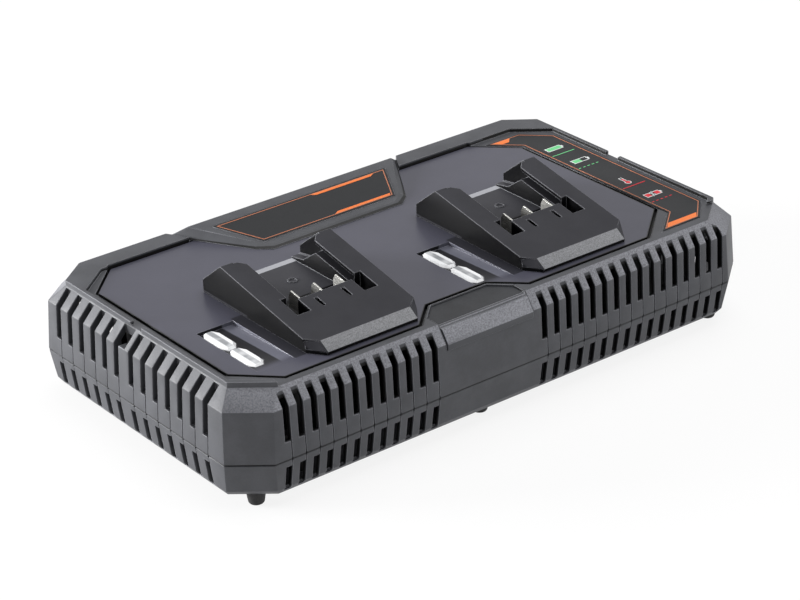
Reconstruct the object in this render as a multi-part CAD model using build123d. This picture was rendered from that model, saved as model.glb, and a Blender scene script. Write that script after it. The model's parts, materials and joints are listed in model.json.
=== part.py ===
from build123d import *
import math
import os

# Two-bay power tool battery charger.
# Millimetres, +Z up, X along the long side, -Y the front that faces the user.
# The origin is on the ground, under the middle of the casing.

# ---------------------------------------------------------------- driving sizes
# casing, outside
BODY_LENGTH = 300.0
BODY_WIDTH = 167.6
CORNER_X = 17.0
CORNER_Y = 14.0
REAR_CORNER_X = 14.5
REAR_CORNER_Y = 11.5
FOOT_HEIGHT = 7.0
LOWER_HEIGHT = 17.5
WALL_HEIGHT = 24.65
BEVEL_HEIGHT = 10.0
RIM_DROP = 2.0
RIM_FACE = 2.55
BASE_INSET_X = 4.0
BASE_INSET_Y = 4.5
BASE_EDGE_X = 1.9
BASE_EDGE_Y = 2.3
BASE_EDGE_HEIGHT = 3.0
SEAM_GROOVE = 0.5
WALL_DRAFT_X = 1.4
WALL_DRAFT_Y = 1.0
RIM_INSET_X = 8.3
RIM_INSET_Y = 6.4
FRONT_BEVEL_INSET = 6.8
RIM_WIDTH_SIDE = 2.0
RIM_WIDTH_REAR = 11.8
RIM_FRONT_Y = -66.0
NOTCH_WIDTH = 8.6
NOTCH_Y = 7.0

# casing, inside
WALL = 2.5
SIDE_WALL = 4.4
FLOOR = 2.5
ROOF = 2.5
FIT = 0.2

# ventilation slots
SLOT_WIDTH = 3.4
SLOT_PITCH = 7.3
PANEL_CENTRE_X = -13.5
PANEL_WIDTH = 59.7
LEFT_GROUP_SLOTS = 12
RIGHT_GROUP_SLOTS = 16
SIDE_SLOT_WIDTH = 4.0
SIDE_SLOT_PITCH = 9.7
SIDE_SLOTS = 13
SIDE_FRONT_SLOTS = 7
SIDE_GROUP_GAP = 2.2
SIDE_FIRST_Y = -58.2
SLOT_ABOVE_SEAM = 8.6
SLOT_BELOW_SEAM = 3.6
SLOT_BEVEL_SHARE = 0.75
SIDE_SLOT_BEVEL_SHARE = 0.92
STEP_LINE = 0.5
SIDE_SLOT_REACH = 8.6

# deck plate
PLATE_THICKNESS = 2.6
PLATE_GAP = 1.4
PLATE_LEFT = -135.2
PLATE_RIGHT = 114.4
PLATE_FRONT = -72.0
PLATE_REAR = 65.4
PLATE_CORNER = 17.5
PLATE_FRONT_RIGHT_X = 23.8
PLATE_FRONT_RIGHT_Y = 20.5
PLATE_REAR_RIGHT = 19.5
PLATE_NOTCH_Y = -58.4
PLATE_NOTCH_HALF = 17.3
PLATE_NOTCH_FRONT_HALF = 31.6

# battery docks
DOCK_SPACING = 122.6
DOCK_MIDDLE_X = -6.9
DOCK_WIDTH = 61.2
DOCK_REAR_Y = 17.4
DOCK_PEAK_Y = 2.3
DOCK_FRONT_Y = -69.2
DOCK_SHOULDER_Y = -61.0
DOCK_TOP_FRONT_Y = -64.0
DOCK_NOSE_HALF = 24.7
DOCK_PEAK_HEIGHT = 18.35
DOCK_REAR_HEIGHT = 6.5
DOCK_SLOPE = 12.0 / 61.2
DOCK_SKIRT = 1.7
DOCK_FLOOR = 1.5
BAY_HALF = 18.6
BAY_FRONT_Y = -34.3
CHANNEL_DEPTH = 5.0
LIP_THICKNESS = 2.0
LEDGE_DROP = 6.45
CHANNEL_FRONT_Y = -31.0
LEDGE_CREST_Y = -2.0
LEDGE_NOSE_HEIGHT = 2.4
POCKET_INNER = 14.8
POCKET_WIDTH = 7.2
POCKET_REAR_Y = -31.3
POCKET_LENGTH = 12.7
WELL_HALF = 13.4
WELL_FRONT_Y = -52.0
RISER_WALL = 2.2
PLATFORM_SKIN = 2.4

# terminals
BLADE_PITCH = 12.3
BLADE_THICKNESS = 0.8
BLADE_REAR_Y = -24.4
BLADE_DROP = 1.8
BLADE_CHAMFER = 3.0
BLADE_FOOT_GAP = 1.2
BLOCK_LENGTH = 9.0
TAIL_SIZE = 2.0
LEAD_DIAMETER = 2.0

# light pipes and their recess
LENS_WIDTH = 8.8
LENS_LENGTH = 19.4
LENS_GAP = 1.2
LENS_POINT = 3.6
LENS_OFFSET_X = -51.6
LENS_MIDDLE_Y = -36.6
LENS_PROUD = 0.5
LENS_CHAMFER = 1.1
STEM_WIDTH = 4.0
STEM_LENGTH = 11.0
RECESS_DEPTH = 1.9
RECESS_REAR_Y = -14.6
RECESS_FRONT_Y = -62.0
RECESS_LEFT = -56.0
RECESS_RIGHT = -36.6

# rear bezel and labels
BEZEL_X = -10.5
BEZEL_FRONT_Y = 32.3
BEZEL_BASE_REAR_HALF = 68.5
BEZEL_BASE_FRONT_HALF = 39.8
BEZEL_TOP_REAR_Y = 70.4
BEZEL_TOP_FRONT_Y = 35.2
BEZEL_TOP_REAR_HALF = 60.5
BEZEL_TOP_FRONT_HALF = 37.0
BEZEL_CORNER = 5.6
BEZEL_BLUNT = 1.5
BEZEL_REAR_HEIGHT = 5.55
BEZEL_SLOPE = 0.114
LABEL_THICKNESS = 0.5
NAMEPLATE_REAR_Y = 63.6
NAMEPLATE_FRONT_Y = 39.4
NAMEPLATE_REAR_HALF = 51.2
NAMEPLATE_FRONT_HALF = 38.7
STATUS_MARGIN = 0.5
STATUS_RIGHT = 137.0
STATUS_REAR_Y = 60.4
STATUS_FRONT_Y = -72.4
STATUS_FRONT_FLARE_X = 16.0
STATUS_FRONT_FLARE_Y = 13.8
STATUS_REAR_FLARE = 13.5
STATUS_CORNER = 13.0

# badge over the front panel
BADGE_HALF = 24.6
BADGE_REAR_HALF = 15.8
BADGE_REAR_Y = -60.6
BADGE_TAPER = 8.5
BADGE_RECESS = 0.9
BADGE_THICKNESS = 1.4
BADGE_PROUD = 0.8
BADGE_FOOT_DROP = 3.0

# fan
FAN_SIZE = 40.0
FAN_DEPTH = 10.0
FAN_FROM_END = 16.0
FAN_BORE = 37.0
FAN_HUB = 15.0
FAN_BLADE_TIP = 17.6
FAN_BLADES = 7
FAN_PIN = 2.0
FAN_PIN_GAP = 0.06
FAN_PLATE = 1.6
FAN_END_GAP = 0.4

# board and the parts on it
BOARD_LENGTH = 240.0
BOARD_WIDTH = 120.0
BOARD_THICKNESS = 1.6
BOARD_X = 8.0
STANDOFF = 4.4
BOSS_DIAMETER = 8.0
BOSS_FROM_END = 38.0
BOSS_MIDDLE_X = 13.0
BOSS_Y = 70.0
SCREW_DIAMETER = 3.0
SCREW_HEAD = 5.6
SCREW_HEAD_HEIGHT = 2.2
HOUSING_SCREW_LENGTH = 22.0

# parts on the board: (x, y) is a middle in plan
TRANSFORMER_Y = 8.0
TRANSFORMER_STANDOFF = 3.0
CORE_LENGTH = 34.0
CORE_WIDTH = 28.0
CORE_HEIGHT = 24.0
CORE_LEG = 9.0
CORE_YOKE = 5.0
CHOKE_PLACE = (33.0, 42.0)
CHOKE_SIZE = (18.0, 16.0, 18.0)
CHOKE_BAR = 5.0
FUSE_PLACE = (-36.0, 50.0)
FUSE_LENGTH = 20.0
FUSE_RADIUS = 2.6
FUSE_HEIGHT = 4.0
FUSE_CLIP_SPACING = 16.0
FUSE_CLIP_SIZE = (5.0, 6.0)
BULK_PLACES = ((-17.0, 26.0), (4.0, 26.0))
BULK_DIAMETER = 18.0
BULK_HEIGHT = 27.0
OUTPUT_Y = -18.0
OUTPUT_SPACING = 24.0
OUTPUT_DIAMETER = 10.0
OUTPUT_HEIGHT = 20.0
HEATSINK_X = (-27.0, 96.0)
HEATSINK_FRONT_Y = -48.0
HEATSINK_LENGTH = 44.0
HEATSINK_HEIGHT = 25.0
HEATSINK_PLATE = 3.0
HEATSINK_REACH = 12.0
HEATSINK_FINS = 6
FIN_THICKNESS = 2.0
TRANSISTOR_Y = (-35.0, -15.0)
TRANSISTOR_SIZE = (4.5, 10.0, 18.0)
RECTIFIER_PLACE = (30.0, 24.0)
RECTIFIER_SIZE = (20.0, 4.0, 15.0)
CHIP_PLACES = ((-8.0, -46.0, 10.0), (20.0, -46.0, 10.0), (6.0, -26.0, 7.0))
CHIP_HEIGHT = 1.6

# feet
FOOT_DIAMETER = 9.2
FOOT_TIP_DIAMETER = 7.0
FOOT_FROM_END = 16.1
FOOT_MIDDLE_X = -9.3
FOOT_Y = 69.0
FOOT_STEM = 4.0
FOOT_LIP = 0.8

# mains inlet
INLET_X = -28.0
INLET_WIDTH = 24.0
INLET_DEPTH = 17.0
INLET_TOP = 42.0
SOCKET_CENTRE_Z = 34.0
SOCKET_WIDTH = 16.6
SOCKET_HEIGHT = 8.4
SOCKET_DEPTH = 13.5
PIN_PITCH = 8.6
PIN_DIAMETER = 2.4
PIN_LENGTH = 9.5

# ---------------------------------------------------------------- levels and places
UNDERSIDE = FOOT_HEIGHT
INNER_FLOOR = UNDERSIDE + FLOOR
SEAM = UNDERSIDE + LOWER_HEIGHT
WALL_TOP = SEAM + WALL_HEIGHT
RIM = WALL_TOP + BEVEL_HEIGHT
SHOULDER = RIM - RIM_FACE
DECK = RIM - RIM_DROP
PLATE_SEAT = DECK - PLATE_THICKNESS
CEILING = PLATE_SEAT - ROOF
HALF_X = BODY_LENGTH / 2
HALF_Y = BODY_WIDTH / 2
FAN_X = FAN_FROM_END - HALF_X
BOSS_X = HALF_X - BOSS_FROM_END
FOOT_X = HALF_X - FOOT_FROM_END
LEFT_DOCK_X = DOCK_MIDDLE_X - DOCK_SPACING / 2
RIGHT_DOCK_X = DOCK_MIDDLE_X + DOCK_SPACING / 2
BOARD_SEAT = INNER_FLOOR + STANDOFF
BOARD_TOP = BOARD_SEAT + BOARD_THICKNESS
FRONT_BEVEL_Y = -HALF_Y + FRONT_BEVEL_INSET
WALL_TOP_Y = HALF_Y - WALL_DRAFT_Y
TALL = 200.0
BOSS_PLACES = [(x, y) for x in (-BOSS_X, BOSS_MIDDLE_X, BOSS_X) for y in (-BOSS_Y, BOSS_Y)]
FOOT_PLACES = [(x, y) for x in (-FOOT_X, FOOT_MIDDLE_X, FOOT_X) for y in (-FOOT_Y, FOOT_Y)]


# ---------------------------------------------------------------- helpers
def block(x0, x1, y0, y1, z0, z1):
    """A box between two corners."""
    box = Box(x1 - x0, y1 - y0, z1 - z0, align=(Align.MIN, Align.MIN, Align.MIN))
    return Pos(x0, y0, z0) * box


def post(x, y, z0, z1, diameter):
    """A vertical cylinder."""
    cylinder = Cylinder(diameter / 2, z1 - z0, align=(Align.CENTER, Align.CENTER, Align.MIN))
    return Pos(x, y, z0) * cylinder


def prism(points, z0, z1, grow=0.0):
    """An upright prism over a plan outline, which may be grown all round."""
    face = make_face(Polyline(*[(x, y) for x, y in points], close=True))
    if grow:
        face = offset(face, grow, kind=Kind.INTERSECTION)
    return Pos(0, 0, z0) * extrude(face, amount=z1 - z0, dir=(0, 0, 1))


def side_prism(points, x0, x1):
    """A prism along X over an outline given as (y, z)."""
    face = make_face(Polyline(*[(x0, y, z) for y, z in points], close=True))
    return extrude(face, amount=x1 - x0, dir=(1, 0, 0))


def ruled_solid(lower, upper):
    """A solid between two outlines of as many corners, given as (x, y, z)."""
    faces = [make_face(Polyline(*corners, close=True)) for corners in (lower, upper)]
    return loft(faces, ruled=True)


def octagon(inset_x, inset_y, z):
    """The casing's outline at a level, as corners (x, y, z)."""
    x, y = HALF_X - inset_x, HALF_Y - inset_y
    rear = [(x, y - REAR_CORNER_Y), (x - REAR_CORNER_X, y)]
    front = [(x, y - CORNER_Y), (x - CORNER_X, y)]
    corners = rear + [(-px, py) for px, py in reversed(rear)]
    corners += [(-px, -py) for px, py in front] + [(px, -py) for px, py in reversed(front)]
    return [(px, py, z) for px, py in corners]


def stack(levels):
    """The casing's solid through levels of (inset_x, inset_y, z)."""
    solid = None
    for low, high in zip(levels, levels[1:]):
        piece = ruled_solid(octagon(*low), octagon(*high))
        solid = piece if solid is None else solid + piece
    return solid


def together(pieces):
    """Loose solids in one node."""
    return Compound(children=[solid for piece in pieces for solid in piece.solids()])


def slot_edges():
    """The left edges of the front slots, outwards from the plain panel on both sides."""
    left = PANEL_CENTRE_X - PANEL_WIDTH / 2 - SLOT_WIDTH
    right = PANEL_CENTRE_X + PANEL_WIDTH / 2
    edges = [left - i * SLOT_PITCH for i in range(LEFT_GROUP_SLOTS)]
    return edges + [right + i * SLOT_PITCH for i in range(RIGHT_GROUP_SLOTS)]


def side_slot_edges():
    """The front edges of the side slots, in a front and a rear group."""
    edges = [SIDE_FIRST_Y + i * SIDE_SLOT_PITCH for i in range(SIDE_SLOTS)]
    return edges[:SIDE_FRONT_SLOTS] + [y + SIDE_GROUP_GAP for y in edges[SIDE_FRONT_SLOTS:]]


def dock_top(y):
    """Height of a dock's sloping top above the ground at y."""
    return DECK + DOCK_PEAK_HEIGHT - DOCK_SLOPE * (DOCK_PEAK_Y - y)


# ---------------------------------------------------------------- casing
def lower_slots():
    """Cutters for the slots of the lower shell."""
    top = SEAM - SLOT_BELOW_SEAM
    low = UNDERSIDE + BASE_EDGE_HEIGHT / 2
    reach_y = HALF_Y - BASE_EDGE_Y - WALL
    reach_x = HALF_X - BASE_EDGE_X - SIDE_WALL
    cuts = []
    for x in slot_edges():
        cuts.append(block(x, x + SLOT_WIDTH, -TALL, -reach_y, low, top))
        cuts.append(block(x, x + SLOT_WIDTH, reach_y, TALL, low, top))
        line = (x + SLOT_WIDTH - STEP_LINE, x + SLOT_WIDTH)
        cuts.append(block(*line, -TALL, -HALF_Y + 2 * STEP_LINE, top, SEAM))
        cuts.append(block(*line, HALF_Y - 2 * STEP_LINE, TALL, top, SEAM))
    for y in side_slot_edges():
        for side in (-1, 1):
            near, far = sorted((side * reach_x, side * TALL))
            cuts.append(block(near, far, y, y + SIDE_SLOT_WIDTH, low, top))
            near, far = sorted((side * (HALF_X - 2 * STEP_LINE), side * TALL))
            cuts.append(block(near, far, y, y + STEP_LINE, top, SEAM))
    return cuts


def upper_slots():
    """Cutters for the slots of the upper shell, from above the seam into the bevel."""
    low = SEAM + SLOT_ABOVE_SEAM
    reach_y = WALL_TOP_Y - (WALL_TOP_Y + FRONT_BEVEL_Y) * SLOT_BEVEL_SHARE
    rear_reach = WALL_TOP_Y - (RIM_INSET_Y - WALL_DRAFT_Y) * SLOT_BEVEL_SHARE
    reach_x = HALF_X - SIDE_SLOT_REACH
    side_top = WALL_TOP + (SHOULDER - WALL_TOP) * SIDE_SLOT_BEVEL_SHARE
    cuts = []
    for x in slot_edges():
        cuts.append(block(x, x + SLOT_WIDTH, -TALL, -reach_y, low, RIM))
        cuts.append(block(x, x + SLOT_WIDTH, rear_reach, TALL, low, RIM))
        line = (x + SLOT_WIDTH - STEP_LINE, x + SLOT_WIDTH)
        cuts.append(block(*line, -TALL, -HALF_Y + 2.5 * STEP_LINE, SEAM, low))
        cuts.append(block(*line, HALF_Y - 2.5 * STEP_LINE, TALL, SEAM, low))
    for y in side_slot_edges():
        for side in (-1, 1):
            near, far = sorted((side * reach_x, side * TALL))
            cuts.append(block(near, far, y, y + SIDE_SLOT_WIDTH, low, side_top))
            near, far = sorted((side * (HALF_X - 2.5 * STEP_LINE), side * TALL))
            cuts.append(block(near, far, y, y + STEP_LINE, SEAM, low))
    rear_group = side_slot_edges()[SIDE_FRONT_SLOTS]
    for side in (-1, 1):
        near, far = sorted((side * reach_x, side * TALL))
        cuts.append(block(near, far, NOTCH_Y, rear_group + SIDE_SLOT_WIDTH, WALL_TOP, SHOULDER))
    return cuts


def inlet_opening():
    """The hole in the rear wall that the mains inlet looks through."""
    half = SOCKET_WIDTH / 2 + 2.0
    tall = SOCKET_HEIGHT / 2 + 2.0
    x = INLET_X
    return block(x - half, x + half, HALF_Y - 8.0, TALL, SOCKET_CENTRE_Z - tall, SOCKET_CENTRE_Z + tall)


def make_lower_housing():
    """The tray: floor, tapered wall, screw bosses, board standoffs and fan guides."""
    edge = UNDERSIDE + BASE_EDGE_HEIGHT
    tray = stack([
        (BASE_INSET_X, BASE_INSET_Y, UNDERSIDE),
        (BASE_EDGE_X, BASE_EDGE_Y, edge),
        (0.0, 0.0, SEAM),
    ])
    inner_x, inner_y = BASE_EDGE_X + SIDE_WALL, BASE_EDGE_Y + WALL
    tray -= stack([(inner_x, inner_y, INNER_FLOOR), (SIDE_WALL, WALL, SEAM)])
    outside = stack([(-1.0, -1.0, SEAM - SEAM_GROOVE), (-1.0, -1.0, SEAM)])
    tray -= outside - stack([(SEAM_GROOVE, SEAM_GROOVE, SEAM - SEAM_GROOVE), (SEAM_GROOVE, SEAM_GROOVE, SEAM)])
    tray -= lower_slots()
    for x, y in BOSS_PLACES:
        tray += post(x, y, INNER_FLOOR, SEAM, BOSS_DIAMETER)
    for x, y in board_places():
        tray += post(x, y, INNER_FLOOR, BOARD_SEAT, BOSS_DIAMETER - 1.0)
    guide = WALL / 2 + 0.5
    for side in (-1, 1):
        x = FAN_X + side * (FAN_DEPTH / 2 + FIT + guide / 2)
        tray += block(x - guide / 2, x + guide / 2, -FAN_SIZE / 2, FAN_SIZE / 2, INNER_FLOOR, INNER_FLOOR + 6.0)
    for x, y in BOSS_PLACES:
        tray -= post(x, y, UNDERSIDE, SEAM, SCREW_DIAMETER + 2 * FIT)
        tray -= post(x, y, UNDERSIDE, UNDERSIDE + SCREW_HEAD_HEIGHT + 0.4, SCREW_HEAD + 2 * FIT)
    for x, y in board_places():
        tray -= post(x, y, INNER_FLOOR + 0.5, BOARD_SEAT, SCREW_DIAMETER)
    for x, y in FOOT_PLACES:
        tray -= post(x, y, UNDERSIDE, INNER_FLOOR, FOOT_STEM)
    return tray


def plate_outline():
    """Plan outline of the deck plate."""
    left, right, front, rear = PLATE_LEFT, PLATE_RIGHT, PLATE_FRONT, PLATE_REAR
    x = PANEL_CENTRE_X
    return [
        (left, front + PLATE_CORNER), (left + PLATE_CORNER, front),
        (x - PLATE_NOTCH_FRONT_HALF, front), (x - PLATE_NOTCH_HALF, PLATE_NOTCH_Y),
        (x + PLATE_NOTCH_HALF, PLATE_NOTCH_Y), (x + PLATE_NOTCH_FRONT_HALF, front),
        (right - PLATE_FRONT_RIGHT_X, front), (right, front + PLATE_FRONT_RIGHT_Y),
        (right, rear - PLATE_REAR_RIGHT), (right - PLATE_REAR_RIGHT, rear),
        (left + PLATE_CORNER, rear), (left, rear - PLATE_CORNER),
    ]


def status_outline():
    """Plan outline of the status label, a band with ends flared to the left."""
    left, right = PLATE_RIGHT + PLATE_GAP + STATUS_MARGIN, STATUS_RIGHT
    front, rear = STATUS_FRONT_Y, STATUS_REAR_Y
    return [
        (left, front + STATUS_FRONT_FLARE_Y), (left - STATUS_FRONT_FLARE_X, front),
        (right - STATUS_CORNER, front), (right, front + STATUS_CORNER),
        (right, rear - STATUS_CORNER), (right - STATUS_CORNER, rear),
        (left - STATUS_REAR_FLARE, rear), (left, rear - STATUS_REAR_FLARE),
    ]


def badge_profile(outside):
    """Side outline of the badge's outer face, moved out by a distance."""
    rise = DECK - WALL_TOP
    run = WALL_TOP_Y + FRONT_BEVEL_Y
    length = math.hypot(rise, run)
    out_y, out_z = -rise / length * outside, run / length * outside
    top_y = FRONT_BEVEL_Y - 1.8
    top_z = WALL_TOP + rise * (WALL_TOP_Y + top_y) / run
    foot_z = WALL_TOP - BADGE_FOOT_DROP
    return [(top_y + out_y, top_z + out_z), (-WALL_TOP_Y - outside, WALL_TOP), (-WALL_TOP_Y - outside, foot_z)]


def badge_plan():
    """Plan outline of the badge, narrower at its rear."""
    x, shoulder = PANEL_CENTRE_X, BADGE_REAR_Y - BADGE_TAPER
    return [
        (x - BADGE_HALF, -HALF_Y - BADGE_PROUD), (x + BADGE_HALF, -HALF_Y - BADGE_PROUD), (x + BADGE_HALF, shoulder),
        (x + BADGE_REAR_HALF, BADGE_REAR_Y), (x - BADGE_REAR_HALF, BADGE_REAR_Y), (x - BADGE_HALF, shoulder),
    ]


def badge_solid(grow):
    """The badge: a flat floor in the deck's notch and a strip down the bevel."""
    floor_top = DECK - BADGE_RECESS
    fold = FRONT_BEVEL_Y + 1.0
    outline = [(0.0, floor_top), (fold, floor_top)] + badge_profile(BADGE_PROUD)
    outline += reversed(badge_profile(BADGE_PROUD - BADGE_THICKNESS))
    outline += [(fold, floor_top - BADGE_THICKNESS), (0.0, floor_top - BADGE_THICKNESS)]
    return side_prism(outline, -HALF_X, HALF_X) & prism(badge_plan(), 0, TALL, grow)


def rim_cut():
    """What is taken from the top inside the raised rim, and along the whole front."""
    side = HALF_X - RIM_INSET_X - RIM_WIDTH_SIDE
    rear = HALF_Y - RIM_INSET_Y - RIM_WIDTH_REAR
    front = -HALF_Y + RIM_INSET_Y + RIM_WIDTH_SIDE
    plan = [
        (side, rear - CORNER_Y), (side - CORNER_X, rear), (-side + CORNER_X, rear), (-side, rear - CORNER_Y),
        (-side, front + CORNER_Y), (-side + CORNER_X, front), (side - CORNER_X, front), (side, front + CORNER_Y),
    ]
    inside = prism(plan, DECK, TALL)
    ramp = [(RIM_FRONT_Y + 2.0, DECK), (RIM_FRONT_Y, RIM + 1.0), (-TALL, RIM + 1.0), (-TALL, DECK)]
    return inside + side_prism(ramp, -HALF_X + RIM_INSET_X + CORNER_X, TALL)


def make_upper_housing():
    """The cover: drafted wall, bevel, raised rim, deck seat, slots and screw bosses."""
    cover = stack([
        (0.0, 0.0, SEAM),
        (WALL_DRAFT_X, WALL_DRAFT_Y, WALL_TOP),
        (RIM_INSET_X, RIM_INSET_Y, SHOULDER),
        (RIM_INSET_X, RIM_INSET_Y, RIM),
    ])
    steep = [(-WALL_TOP_Y, WALL_TOP), (FRONT_BEVEL_Y, DECK), (FRONT_BEVEL_Y, TALL), (-TALL, TALL), (-TALL, WALL_TOP)]
    cover -= side_prism(steep, -TALL, TALL)
    cover -= rim_cut()
    share = (CEILING - WALL_TOP) / (SHOULDER - WALL_TOP)
    top_x = WALL_DRAFT_X + (RIM_INSET_X - WALL_DRAFT_X) * share + SIDE_WALL
    top_y = WALL_DRAFT_Y + (FRONT_BEVEL_INSET - WALL_DRAFT_Y) * share + WALL
    cover -= stack([
        (SIDE_WALL, WALL, SEAM),
        (WALL_DRAFT_X + SIDE_WALL, WALL_DRAFT_Y + WALL, WALL_TOP),
        (top_x, top_y, CEILING),
    ])
    cover -= upper_slots()
    cover -= prism(plate_outline(), PLATE_SEAT, TALL, PLATE_GAP)
    cover -= prism(status_outline(), DECK - LABEL_THICKNESS / 2, TALL, FIT)
    cover -= prism(bezel_base(), DECK, TALL, FIT)
    cover -= block(BEZEL_X - BEZEL_BASE_REAR_HALF, BEZEL_X + BEZEL_BASE_REAR_HALF, bezel_rear_y(), TALL, DECK, TALL)
    notch = block(-TALL, TALL, NOTCH_Y - NOTCH_WIDTH / 2, NOTCH_Y + NOTCH_WIDTH / 2, DECK, TALL)
    cover -= notch
    cover -= badge_solid(FIT)
    cover -= prism(badge_plan(), DECK - BADGE_RECESS, TALL, FIT)
    for x, y in BOSS_PLACES:
        cover += post(x, y, SEAM, CEILING, BOSS_DIAMETER)
    for x, y in indicator_posts():
        cover += post(x, y, indicator_board_top(), CEILING, 4.5)
    for x, y in BOSS_PLACES:
        cover -= post(x, y, SEAM, SEAM + HOUSING_SCREW_LENGTH, SCREW_DIAMETER)
    for x, y in indicator_posts():
        cover -= post(x, y, indicator_board_top(), CEILING, 2.0)
    for dock_x in (LEFT_DOCK_X, RIGHT_DOCK_X):
        cover -= dock_well(dock_x)
        for x, y in dock_screw_places(dock_x):
            cover -= post(x, y, CEILING, PLATE_SEAT, SCREW_DIAMETER + 2 * FIT)
        for y in lens_centres():
            cover -= lens_stem(dock_x, y, CEILING, PLATE_SEAT, FIT)
    cover -= inlet_opening()
    return cover


def dock_well(dock_x):
    """The opening under a dock that the leads pass through."""
    front, rear = WELL_FRONT_Y, BAY_FRONT_Y - RISER_WALL
    return block(dock_x - WELL_HALF, dock_x + WELL_HALF, front, rear, CEILING - 1.0, DECK + 0.01)


def make_deck_plate():
    """The plate that both docks stand on, with recesses for the light pipes."""
    plate = prism(plate_outline(), PLATE_SEAT, DECK)
    for dock_x in (LEFT_DOCK_X, RIGHT_DOCK_X):
        x0, x1 = dock_x + RECESS_LEFT, dock_x + RECESS_RIGHT
        wedge = [(RECESS_REAR_Y, DECK), (RECESS_REAR_Y, DECK - RECESS_DEPTH), (RECESS_FRONT_Y, DECK)]
        plate -= side_prism(wedge, x0, x1)
        plate -= dock_well(dock_x)
        for x, y in dock_screw_places(dock_x):
            plate -= post(x, y, PLATE_SEAT, DECK, SCREW_DIAMETER + 2 * FIT)
        for y in lens_centres():
            plate -= lens_prism(dock_x, y, PLATE_SEAT, DECK, FIT)
    return plate


# ---------------------------------------------------------------- docks
def dock_screw_places(dock_x):
    """The four screws that hold a dock from below."""
    half = DOCK_WIDTH / 2 - 4.0
    return [(dock_x + side * half, y) for side in (-1, 1) for y in (8.0, -54.0)]


def dock_envelope(dock_x):
    """The outside of a dock before its bay is cut."""
    half = DOCK_WIDTH / 2
    base_z, shoulder_z = DECK + DOCK_SKIRT, dock_top(DOCK_TOP_FRONT_Y)

    def plan(shoulder_y, front_y, z):
        corners = [(half, DOCK_REAR_Y), (half, shoulder_y), (DOCK_NOSE_HALF, front_y)]
        mirrored = [(-x, y) for x, y in reversed(corners)]
        return [(dock_x + x, y, z) for x, y in corners + mirrored]

    low = plan(DOCK_SHOULDER_Y, DOCK_FRONT_Y, base_z)
    high = plan(DOCK_SHOULDER_Y + 1.8, DOCK_TOP_FRONT_Y, shoulder_z)
    body = prism([(x, y) for x, y, z in low], DECK, base_z)
    body += ruled_solid(low, high)
    body += prism([(x, y) for x, y, z in high], shoulder_z, DECK + DOCK_PEAK_HEIGHT + 5.0)
    profile = [
        (DOCK_REAR_Y, DECK), (DOCK_REAR_Y, DECK + DOCK_REAR_HEIGHT), (DOCK_PEAK_Y, DECK + DOCK_PEAK_HEIGHT),
        (DOCK_FRONT_Y, dock_top(DOCK_FRONT_Y)), (DOCK_FRONT_Y, DECK),
    ]
    return body & side_prism(profile, dock_x - half, dock_x + half)


def make_dock(dock_x):
    """A battery dock: floor, two undercut rails, a front platform and two latch pockets."""
    dock = dock_envelope(dock_x)
    floor = DECK + DOCK_FLOOR
    lip_cut = 4.2
    plan = [
        (-BAY_HALF, BAY_FRONT_Y), (BAY_HALF, BAY_FRONT_Y),
        (BAY_HALF, DOCK_PEAK_Y - lip_cut), (BAY_HALF + lip_cut, DOCK_PEAK_Y), (BAY_HALF + lip_cut, TALL),
        (-BAY_HALF - lip_cut, TALL), (-BAY_HALF - lip_cut, DOCK_PEAK_Y), (-BAY_HALF, DOCK_PEAK_Y - lip_cut),
    ]
    bay = prism([(dock_x + x, y) for x, y in plan], floor, TALL)
    nose = DECK + LEDGE_NOSE_HEIGHT
    ledge = [
        (BAY_FRONT_Y, floor), (BAY_FRONT_Y, dock_top(BAY_FRONT_Y) - LEDGE_DROP),
        (LEDGE_CREST_Y, dock_top(LEDGE_CREST_Y) - LEDGE_DROP), (LEDGE_CREST_Y + 10.0, nose + 1.6),
        (DOCK_REAR_Y, nose), (DOCK_REAR_Y, floor),
    ]
    lip_rear = DOCK_PEAK_Y - 0.6
    channel = [
        (CHANNEL_FRONT_Y, dock_top(CHANNEL_FRONT_Y) - LEDGE_DROP),
        (LEDGE_CREST_Y, dock_top(LEDGE_CREST_Y) - LEDGE_DROP), (LEDGE_CREST_Y + 10.0, nose + 1.6),
        (DOCK_REAR_Y + 1.0, nose), (DOCK_REAR_Y + 1.0, TALL), (lip_rear, TALL),
        (lip_rear, dock_top(DOCK_PEAK_Y) - LIP_THICKNESS),
        (CHANNEL_FRONT_Y, dock_top(CHANNEL_FRONT_Y) - LIP_THICKNESS),
    ]
    for side in (-1, 1):
        near, far = sorted((dock_x + side * BAY_HALF, dock_x + side * (BAY_HALF + CHANNEL_DEPTH)))
        bay -= side_prism(ledge, near, far)
    dock -= bay
    for side in (-1, 1):
        near, far = sorted((dock_x + side * (BAY_HALF - 1.0), dock_x + side * (BAY_HALF + CHANNEL_DEPTH)))
        dock -= side_prism(channel, near, far)
        near, far = sorted((dock_x + side * POCKET_INNER, dock_x + side * (POCKET_INNER + POCKET_WIDTH)))
        dock -= block(near, far, POCKET_REAR_Y - POCKET_LENGTH, POCKET_REAR_Y, floor, TALL)
    dock -= platform_cavity(dock_x)
    for x in blade_places(dock_x):
        slot = BLADE_THICKNESS / 2 + FIT
        dock -= block(x - slot, x + slot, BAY_FRONT_Y - RISER_WALL - 0.1, BAY_FRONT_Y + 0.1, floor,
                      dock_top(BAY_FRONT_Y) - PLATFORM_SKIN)
    for side in (-1, 1):
        x = dock_x + side * BLADE_PITCH * 0.6
        deep = dock_top(BAY_FRONT_Y - 9.0) - 1.2
        dock -= block(x - 0.8, x + 0.8, BAY_FRONT_Y - 9.6, BAY_FRONT_Y - 3.3, deep, TALL)
    for x, y in dock_screw_places(dock_x):
        dock -= post(x, y, DECK, DECK + 6.0 if y < 0 else DECK + 5.0, SCREW_DIAMETER)
    return dock


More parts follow.
